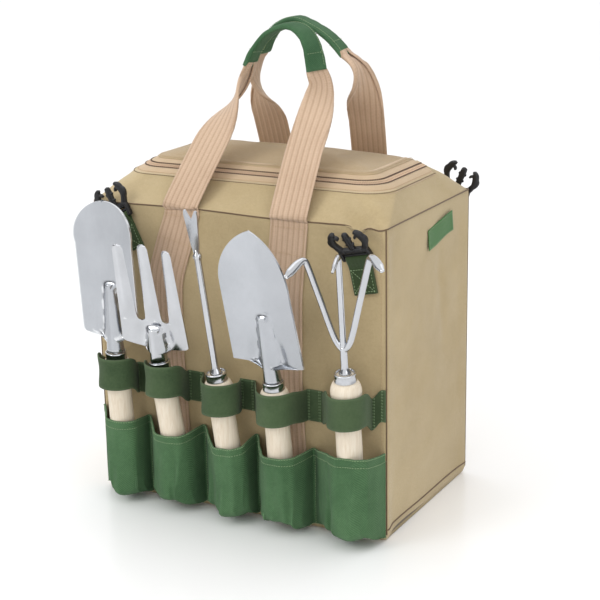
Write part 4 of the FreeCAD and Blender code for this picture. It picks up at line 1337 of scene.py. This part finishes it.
def edge_line(*steps):
    """One edge of a blade, from foot to tip, as (x, z) points with z rising."""
    points = [steps[0]]
    for step in steps[1:]:
        if len(step) == 4:
            points += arc_points(points[-1], step[:2], step[2:])[1:]
        points.append(step[-2:])
    return np.array(sorted(points, key=lambda p: p[1]))


def sheet_front(x, bend):
    """The near face of a sheet bent about a line in front of the axis."""
    inner = bend - SHEET_T
    return BLADE_DEPTH - bend + np.sqrt(inner**2 - x**2)


def pressed(x, z, bend, reach):
    """The near face of a blade with its socket pressed into it."""
    y = sheet_front(x, bend)
    share = np.clip((z - TOP) / SOCKET_LENGTH, 0, 1)
    radius = SOCKET_R + (SOCKET_TIP_R - SOCKET_R) * share - 0.35
    spread = radius + 3.5 + 2.0 * (1 - share)
    shape = np.sqrt(np.clip(1 - (x / spread) ** 2, 0, 1))
    rise = (radius + y) * np.where(np.abs(x) < spread, shape**1.6, 0.0)
    fade = 1 - smooth_step((z - TOP - reach + 5) / 7.0)
    hollow = 1.3 * hump(np.abs(x), radius + 8, 5.0) * hump(z, TOP + 30, 13.0)
    return y - rise * fade + hollow


def blade_grid(left, right, low, high, bend, reach, cols=56, rows=110, tip_power=1.5):
    """The near face of a blade between its left and right edges."""
    share = np.linspace(0, 1, rows)
    share = 1 - (1 - share) ** tip_power
    z = low + (high - low) * share
    x0 = np.interp(z, left[:, 1], left[:, 0])
    x1 = np.interp(z, right[:, 1], right[:, 0])
    k = 0.5 - 0.5 * np.cos(np.linspace(0, math.pi, cols))
    k = 0.5 * k + 0.5 * np.linspace(0, 1, cols)
    x = x0[:, None] + (x1 - x0)[:, None] * k
    level = np.repeat(z[:, None], cols, 1)
    return np.stack([x, pressed(x, level, bend, reach), level], 2)


def sheet_metal(name, grids, place, material, body_name):
    """A pressed sheet from its near faces: thickness, and edges rounded by a small bevel."""
    piece = joined(name, [moved(g, place) for g in grids], material, None, wrap=False)
    mesh = piece.data
    work = bmesh.new()
    work.from_mesh(mesh)
    bmesh.ops.remove_doubles(work, verts=work.verts, dist=0.00004)
    bmesh.ops.recalc_face_normals(work, faces=work.faces)
    away = Vector((0, 1, 0))
    if sum((f.normal.dot(away) * f.calc_area() for f in work.faces), 0.0) > 0:
        bmesh.ops.reverse_faces(work, faces=work.faces)
    work.to_mesh(mesh)
    work.free()
    thicken(piece, SHEET_T)
    soften_edges(piece, 0.45, 2, 50)
    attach(piece, body_name)
    return piece


def socket_piece(name, reach, place, material, body_name):
    """The hollow cone round the tang, open at its small end."""
    tip = SOCKET_R + (SOCKET_TIP_R - SOCKET_R) * reach / SOCKET_LENGTH
    profile = [(SOCKET_R - 2.2, TOP + 0.2), (SOCKET_R - 0.5, TOP + 0.2), (SOCKET_R, TOP + 0.8)]
    for share in np.linspace(0.05, 0.97, 24):
        profile.append((SOCKET_R + (tip - SOCKET_R) * share, TOP + reach * share))
    profile += [(tip + 0.05, TOP + reach - 0.5), (tip - 0.3, TOP + reach), (tip - 1.0, TOP + reach - 0.2),
                (tip - 1.1, TOP + reach - 16), (0.3, TOP + reach - 18)]
    return lathe(name, profile, 40, material, body_name, place)


def turned_handle(tool, place):
    """The wooden handle with its rounded butt, shaft and swollen collar."""
    profile = [(0.3, 0.0), (5.0, 0.05), (8.0, 0.3), (10.2, 1.2), (11.6, 2.9), (12.2, 5.0)]
    profile += [(12.3 + 0.12 * math.sin(z / 9.0), z) for z in np.linspace(8, 112, 40)]
    profile += [(12.3, 116), (12.6, 118.5), (13.4, 122), (14.4, 126), (14.95, 130), (14.9, 133.5),
                (14.2, 137), (13.0, 140), (11.6, 141.9), (9.0, 142.0), (8.95, 148.6), (8.4, 149.0),
                (0.3, 149.0)]
    name = tool[0]
    piece = lathe(name + "_wood", profile, 56, WOOD, name, place, 0.006, 80 + len(name))
    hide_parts(name + "_handle")


def ferrule_ring(tool, place):
    """The rolled ring round the handle's neck."""
    profile = [(8.9, 142.05), (10.2, 142.0), (10.6, 142.4), (10.65, 143.0), (10.4, 143.5), (10.4, 149.2),
               (10.65, 149.7), (10.7, 150.4), (10.4, 150.95), (9.4, 151.0), (9.05, 150.6), (9.0, 142.3)]
    name = tool[0]
    piece = lathe(name + "_ring", profile, 48, BRIGHT, name, place)
    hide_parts(name + "_ferrule")


def fork_grids(bend):
    """The near faces of the fork: its shoulders and its three crowned tines."""
    foot, slot, top = TOP + 20, TOP + 46, TOP + 134
    left = edge_line((-6, foot - 7), (-20, foot - 4, -33, foot), (-36, foot + 3), (-31, top - 6))
    right = left * np.array((-1, 1))
    reach = FORK_SOCKET_LENGTH
    grids = [blade_grid(left, right, foot - 7, slot, bend, reach, 73, 44, 1.0)]
    mirror = np.array((-1, 1))
    outer = edge_line((np.interp(slot, left[:, 1], left[:, 0]), slot), (-31, top - 6), (-29.6, top - 2),
                      (-26, top))
    inner = edge_line((-13, slot), (-16.8, slot + 2), (-17.8, slot + 7), (-20.4, top - 6), (-22, top - 2),
                      (-26, top))
    middle = edge_line((-13, slot), (-9.2, slot + 2), (-8.4, slot + 7), (-5.4, top - 4), (-3.8, top),
                       (0, top + 2))
    edges = ((outer, inner), (middle, middle * mirror), (inner * mirror, outer * mirror))
    for one, other in edges:
        tine = blade_grid(one, other, slot, one[-1][1], bend, reach, 25, 70, 1.4)
        half = (tine[:, -1:, 0] - tine[:, :1, 0]) / 2
        centre = (tine[:, -1:, 0] + tine[:, :1, 0]) / 2
        crown = 1 - ((tine[..., 0] - centre) / np.maximum(half, 0.5)) ** 2
        rise = smooth_step((tine[..., 2] - slot) / 24.0)
        tine[..., 1] -= 2.2 * crown * rise
        grids.append(tine)
    return grids


def heads():
    """The five steel heads."""
    places = {tool[0]: tool_place(tool) for tool in TOOLS}
    for tool in TOOLS:
        turned_handle(tool, places[tool[0]])
        ferrule_ring(tool, places[tool[0]])

    foot, top = TOP + 20, TOP + 154
    left = edge_line((-6, foot - 8), (-20, foot - 4, -31, foot), (-33, foot + 4), (-33, top - 42),
                     (-24, top - 10, 0, top))
    place = places["trowel"] @ set_place("trowel")
    blade = blade_grid(left, left * np.array((-1, 1)), foot - 8, top, 95.0, SOCKET_LENGTH, tip_power=2.2)
    trowel = sheet_metal("trowel_blade", [blade], place, STEEL, "trowel")
    socket_piece("trowel_socket", SOCKET_LENGTH, place, STEEL, "trowel")

    foot, top = TOP + 21, TOP + 158
    left = edge_line((-8, foot - 4), (-39, foot), (-39, top - 56), (-28, top - 20, 0, top))
    right = edge_line((8, foot - 4), (24, foot - 3, 40, foot - 1), (40, foot + 1), (36, top - 62),
                      (25, top - 22, 0, top))
    place = places["transplanter"] @ set_place("transplanter")
    blade = blade_grid(left, right, foot - 4, top, 150.0, SOCKET_LENGTH, tip_power=1.6)
    transplanter = sheet_metal("transplanter_blade", [blade], place, STEEL, "transplanter")
    socket_piece("transplanter_socket", SOCKET_LENGTH, place, STEEL, "transplanter")

    place = places["fork"] @ set_place("fork")
    fork = sheet_metal("fork_blade", fork_grids(170.0), place, BRIGHT, "fork")
    socket_piece("fork_socket", FORK_SOCKET_LENGTH, place, BRIGHT, "fork")

    weeder = weeder_head(places["weeder"])
    cultivator = cultivator_head(places["cultivator"])
    for piece, name in ((trowel, "trowel"), (transplanter, "transplanter"), (fork, "fork"),
                        (weeder, "weeder"), (cultivator, "cultivator")):
        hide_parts(name + "_head")
    for name in ("trowel", "transplanter", "fork"):
        lathe(name + "_tang", [(3.4, TOP - 30), (3.4, TOP + 4), (0.4, TOP + 5)], 20, BRIGHT, name,
              places[name])


def weeder_head(place):
    """A straight rod with a small ring under its flat notched tip."""
    neck, top = TOP + 126, TOP + 166
    profile = [(6.2, TOP - 2), (6.2, TOP - 1), (5.2, TOP + 1.2), (4.2, TOP + 3.4), (3.5, TOP + 5)]
    profile += [(3.4, z) for z in np.linspace(TOP + 8, neck - 12, 24)]
    profile += [(3.5, neck - 9), (4.3, neck - 7.5), (4.6, neck - 6), (4.2, neck - 4.6), (3.4, neck - 3.6),
                (2.4, neck - 1), (1.2, neck + 1), (0.3, neck + 2)]
    rod = lathe("weeder_rod", profile, 32, BRIGHT, "weeder", place)
    notch = top - 10
    shape = (neck - 6, neck, neck + 6, top - 5, top - 1.5, top)
    widths = (3.0, 3.6, 5.2, 8.8, 8.4, 7.4)
    grids = []
    for low, high, way, cols in ((neck - 6, notch, 0, 45), (notch, top, -1, 23), (notch, top, 1, 23)):
        z = np.linspace(low, high, 22)
        half = np.interp(z, shape, widths)
        split = 6.4 * (z - notch) / (top - notch)
        start, end = {0: (-half, half), -1: (-half, -split), 1: (split, half)}[way]
        x = start[:, None] + (end - start)[:, None] * np.linspace(0, 1, cols)
        grids.append(np.stack([x, -1.2 - 0.2 * (1 - (x / 9.0) ** 2), np.repeat(z[:, None], cols, 1)], 2))
    sheet_metal("weeder_tip", grids, place, STEEL, "weeder")
    return rod


def cultivator_head(place):
    """Three round prongs from one stem, with flattened hooked ends."""
    root = np.array((0, 0, TOP + 22.0))
    collar = np.array([(0, 0, z) for z in np.linspace(TOP - 2, TOP + 26, 14)], float)
    radii = np.interp(collar[:, 2], (TOP - 2, TOP + 0.5, TOP + 5, TOP + 26), (6.2, 5.8, 3.6, 3.5))
    grids = [closed_rows(tube_rows(collar, radii, 20))]
    for x, height, hook in PRONGS:
        bend = np.array((x, 0, TOP + height))
        tip = bend + np.array(hook)
        shoulder = root + np.array((x / 4, 0, 12.0))
        up = unit(bend - shoulder)
        down = unit(tip - bend)
        control = [root - UP * 4, root, shoulder, shoulder + (bend - shoulder) * 0.5, bend - up * 9,
                   bend - up * 2.4 + down * 1.6, bend + down * 9, tip]
        path = curve(control, 90)
        run = np.linspace(0, 1, 90)
        hooked = smooth_step((run - 0.76) / 0.12)
        radii = 3.1 + 1.0 * hooked - 1.9 * smooth_step((run - 0.93) / 0.07)
        flat = 1.0 - 0.42 * hooked
        grids.append(closed_rows(tube_rows(path, radii, 18, flat)))
    piece = joined("cultivator_prongs", [moved(g, place) for g in grids], BRIGHT, "cultivator")
    return piece


# ---------------------------------------------------------------- buckles and label


def panel_place(buckle, flop=0.0):
    """The placement of a buckle or its tab, made about the buckle's bar."""
    _, x, z, side, tilt, _ = buckle
    half_turn = Matrix.Rotation(math.pi if side > 0 else 0.0, 4, "Z")
    leaned = Matrix.Rotation(math.radians(tilt), 4, "Y") @ half_turn
    return (Matrix.Translation((x, side * (HALF_D + BUCKLE_STAND), z)) @ leaned
            @ Matrix.Rotation(math.radians(flop), 4, "X"))


def rounded_bar(path, half_w, half_t, segments=20):
    """Rings of a bar with a rounded rectangular section in the plane y = 0; half_w may vary."""
    path = np.asarray(path, float)
    tangents = unit(np.gradient(path, axis=0))
    wide = np.cross(tangents, DEPTHWAYS)
    angles = np.linspace(0, 2 * math.pi, segments, endpoint=False)
    cx = np.sign(np.cos(angles)) * np.abs(np.cos(angles)) ** 0.6
    cy = np.sign(np.sin(angles)) * np.abs(np.sin(angles)) ** 0.6
    half_w = np.broadcast_to(half_w, len(path))[:, None, None]
    half_t = np.broadcast_to(half_t, len(path))[:, None, None]
    return path[:, None] + cx[None, :, None] * wide[:, None] * half_w + cy[None, :, None] * DEPTHWAYS * half_t


def capped_bar(path, half_w, half_t, count=26):
    """A rounded bar along a smooth path, its ends drawn in."""
    path = curve(path, count)
    share = np.linspace(0, 1, count)
    ends = np.sqrt(np.clip(1 - (np.abs(share - 0.5) * 2) ** 14, 0.02, 1))
    widths = np.interp(share, np.linspace(0, 1, len(np.atleast_1d(half_w))), np.atleast_1d(half_w)) * ends
    return closed_rows(rounded_bar(path, widths, half_t * ends))


def buckle(item):
    """The pronged half of a side-release buckle: bar, frame, two sprung arms and a centre guide."""
    name = item[0]
    grids = [closed_rows(tube_rows(np.linspace((-15.2, 0, 0), (15.2, 0, 0), 8), 1.6, 16))]
    for side in (-1, 1):
        grids.append(capped_bar([(side * 14.3, 0, -2.6), (side * 14.4, 0, 3), (side * 14.2, 0, 9.5),
                                 (side * 13.6, 0, 12.4)], (1.7, 1.7, 1.7, 1.6), 2.9))
        grids.append(capped_bar([(side * 11.0, 0, 9.5), (side * 14.0, 0, 14), (side * 16.2, 0, 21),
                                 (side * 15.0, 0, 28), (side * 12.0, 0, 32.0), (side * 10.0, 0, 31.0)],
                                (3.4, 3.0, 2.7, 3.3, 3.4, 2.0), 2.6))
        grids.append(capped_bar([(side * 15.6, 0, 16.5), (side * 17.6, 0, 19.5), (side * 18.6, 0, 23.5),
                                 (side * 17.0, 0, 27.5)], (1.8, 2.2, 2.0, 1.6), 2.3, 14))
        grids.append(capped_bar([(side * 12.8, 0, 29.0), (side * 9.8, 0, 27.6), (side * 8.6, 0, 25.0)],
                                (1.8, 1.5, 1.0), 2.2, 12))
    grids.append(capped_bar([(-15.4, 0, 10), (-6, 0, 10), (6, 0, 10), (15.4, 0, 10)], 2.9, 2.95))
    grids.append(capped_bar([(-13.2, -0.2, 4.6), (0, -0.2, 4.9), (13.2, -0.2, 4.6)], 1.3, 1.6))
    grids.append(capped_bar([(0, 0, 10), (0, 0, 19), (0, 0, 27), (0, 0, 33)], (3.4, 3.0, 3.5, 2.8), 2.3))
    grids.append(capped_bar([(0, -1.6, 12), (0, -1.9, 20), (0, -1.6, 31)], 1.1, 1.4, 14))
    for height in (18.0, 25.0):
        grids.append(capped_bar([(-4.6, 0, height), (0, -0.3, height + 0.5), (4.6, 0, height)], 1.3, 1.9, 12))
    for step in range(4):
        x = -9 + 6 * step
        grids.append(capped_bar([(x, -1.9, 8), (x, -2.2, 10), (x, -1.9, 12)], 0.7, 1.3, 10))
    place = panel_place(item, item[5])
    piece = joined("buckle_" + name + "_moulding", [moved(g, place) for g in grids], PLASTIC,
                   "buckle_" + name + "_body")
    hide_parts("buckle_" + name)


def buckle_tab(item):
    """Folded webbing through the buckle, sewn to the panel with a crossed box."""
    name = item[0]
    place = panel_place(item)
    angles = np.linspace(math.radians(-10), math.radians(190), 16)
    loop = [(2.55 * math.cos(a), 2.55 * math.sin(a)) for a in angles]
    line = [(2.75, -36.0), (2.75, -24.0), (2.7, -12.0), (2.7, -4.0)] + loop
    line += [(-1.2, -4.5), (0.6, -9.0), (1.0, -14.0), (1.0, -36.0)]
    path = curve([(0, y, z) for y, z in line], 90)
    tangents = unit(np.gradient(path, axis=0))
    out = np.cross(SIDEWAYS, tangents)
    rows = []
    x = np.linspace(-12, 12, 25)
    rib = 0.62 + 0.14 * np.abs(np.sin(x / 24 * math.pi * 6))
    rib[[0, -1]] = 0.3
    for centre, normal in zip(path, out):
        near = centre + x[:, None] * SIDEWAYS + normal * rib[:, None]
        far = centre + x[:, None] * SIDEWAYS - normal * rib[:, None]
        rows.append(np.concatenate([near, far[::-1]]))
    piece = add_grid("buckle_" + name + "_strap", moved(closed_rows(np.array(rows)), place), TAB, "bag",
                     wrap=True)
    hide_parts("buckle_tab_" + name)
    sewn_y = 0.05
    corners = [(-10, sewn_y, -33.5), (10, sewn_y, -33.5), (10, sewn_y, -12), (-10, sewn_y, -12)]
    lines = []
    for a, b in ((0, 1), (1, 2), (2, 3), (3, 0), (0, 2), (1, 3)):
        lines.append((moved(np.linspace(corners[a], corners[b], 16), place), DEPTHWAYS * item[3]))
    stitches("buckle_" + name + "_stitches", lines, 2.4, 1.7, 0.34, GREEN_THREAD, "bag")


def side_label():
    """A plain woven patch, sewn round its edge, a little curled."""
    y = np.linspace(-30, 30, 40)
    z = np.linspace(-10.5, 10.5, 18)
    gy, gz = np.meshgrid(y, z)
    curl = 0.5 + 0.7 * (np.abs(gy) / 30) ** 6 + 0.35 * np.sin(gy / 9.0) * (gz / 10.5)
    flat = np.stack([curl, gy, gz + 0.35 * np.sin(gy / 11.0)], 2)
    out = max(float(side_offset(np.array(LABEL_PLACE[1]), np.array(LABEL_PLACE[2]))), 0.0)
    flat[..., 0] += out + 0.3
    place = Matrix.Translation(LABEL_PLACE) @ Matrix.Rotation(math.radians(LABEL_TILT), 4, "X")
    piece = thicken(add_grid("side_patch", moved(flat, place), LABEL, "bag"), 0.7)
    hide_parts("side_label")
    lines = []
    border = [(0.95, -28.4, -9), (0.95, 28.4, -9), (0.95, 28.4, 9), (0.95, -28.4, 9), (0.95, -28.4, -9)]
    for a, b in zip(border, border[1:]):
        line = np.linspace(a, b, 24)
        line[:, 0] += out + 0.2 + 0.35 * np.sin(line[:, 1] / 9.0) * line[:, 2] / 10.5
        lines.append((moved(line, place), SIDEWAYS))
    stitches("side_patch_stitches", lines, 2.2, 1.5, 0.22, GREEN_THREAD, "bag")


def kept_nodes():
    """Materials for the CAD pieces that stay."""
    for name, material, width in (("zip_slider", ZIP_METAL, 0.3), ("zip_pull", ZIP_METAL, 0.3),
                                  ("base_board", BOARD, 0.5)):
        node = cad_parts[name]
        node.data.materials.clear()
        node.data.materials.append(material)
        soften_edges(node, width)


# ---------------------------------------------------------------- stage


def studio_walls(tree):
    """White surroundings with a darker wall low down on each side, which polished steel mirrors."""
    def node(kind, *inputs, **settings):
        made = tree.nodes.new(kind)
        for key, value in settings.items():
            setattr(made, key, value)
        for place, value in enumerate(inputs):
            if isinstance(value, bpy.types.NodeSocket):
                tree.links.new(value, made.inputs[place])
            else:
                made.inputs[place].default_value = value
        return made.outputs[0]

    direction = tree.nodes.new("ShaderNodeTexCoord").outputs["Generated"]
    sideways = tree.nodes.new("ShaderNodeVectorMath")
    sideways.operation = "DOT_PRODUCT"
    tree.links.new(direction, sideways.inputs[0])
    sideways.inputs[1].default_value = WALL_DIRECTION
    height = tree.nodes.new("ShaderNodeSeparateXYZ")
    tree.links.new(direction, height.inputs[0])
    apart = node("ShaderNodeMath", sideways.outputs["Value"], operation="ABSOLUTE")
    side = node("ShaderNodeMapRange", apart, 0.62, 0.86, 0.0, 1.0, interpolation_type="SMOOTHSTEP")
    low = node("ShaderNodeMapRange", height.outputs[2], 0.3, 0.48, 1.0, 0.0, interpolation_type="SMOOTHSTEP")
    wall = node("ShaderNodeMath", side, low, operation="MULTIPLY")
    strength = node("ShaderNodeMath", wall, -0.9, 1.08, operation="MULTIPLY_ADD")
    background = tree.nodes["Background"]
    background.inputs[0].default_value = (1.0, 1.0, 1.0, 1.0)
    tree.links.new(strength, background.inputs[1])


def stage():
    """The floor, the lights and the camera."""
    steps = np.linspace(-FLOOR_HALF, FLOOR_HALF, 9)
    points = [(x, y, FLOOR_Z) for y in steps for x in steps]
    quads, _ = grid_quads(len(steps), len(steps), False)
    floor = add_mesh("floor", np.array(points) / MM, quads, None, floor_finish(), None)

    world = bpy.data.worlds.new("studio")
    world.use_nodes = True
    studio_walls(world.node_tree)
    bpy.context.scene.world = world
    for name, place, size, power in LAMPS:
        data = bpy.data.lights.new(name, "AREA")
        data.shape = "DISK"
        data.size = size
        data.energy = power
        light = bpy.data.objects.new(name, data)
        light.location = place
        light.rotation_mode = "QUATERNION"
        light.rotation_quaternion = (Vector(LAMP_AIM) - Vector(place)).to_track_quat("-Z", "Y")
        bpy.context.scene.collection.objects.link(light)

    azimuth, elevation = math.radians(CAMERA_AZIMUTH), math.radians(CAMERA_ELEVATION)
    back = Vector((math.sin(azimuth) * math.cos(elevation), -math.cos(azimuth) * math.cos(elevation),
                   math.sin(elevation)))
    data = bpy.data.cameras.new("camera")
    data.sensor_width = CAMERA_SENSOR
    data.lens = CAMERA_LENS
    camera = bpy.data.objects.new("camera", data)
    camera.location = Vector(CAMERA_AIM) + back * CAMERA_DISTANCE
    camera.rotation_mode = "QUATERNION"
    camera.rotation_quaternion = (-back).to_track_quat("-Z", "Y") @ Quaternion((0, 0, 1), CAMERA_ROLL)
    bpy.context.scene.collection.objects.link(camera)
    bpy.context.scene.camera = camera
    bpy.context.scene.view_settings.view_transform = "Standard"


stage()
body()
dome()
straps_and_handles()
pockets()
loop_band()
heads()
for entry in BUCKLES:
    buckle(entry)
    buckle_tab(entry)
side_label()
kept_nodes()
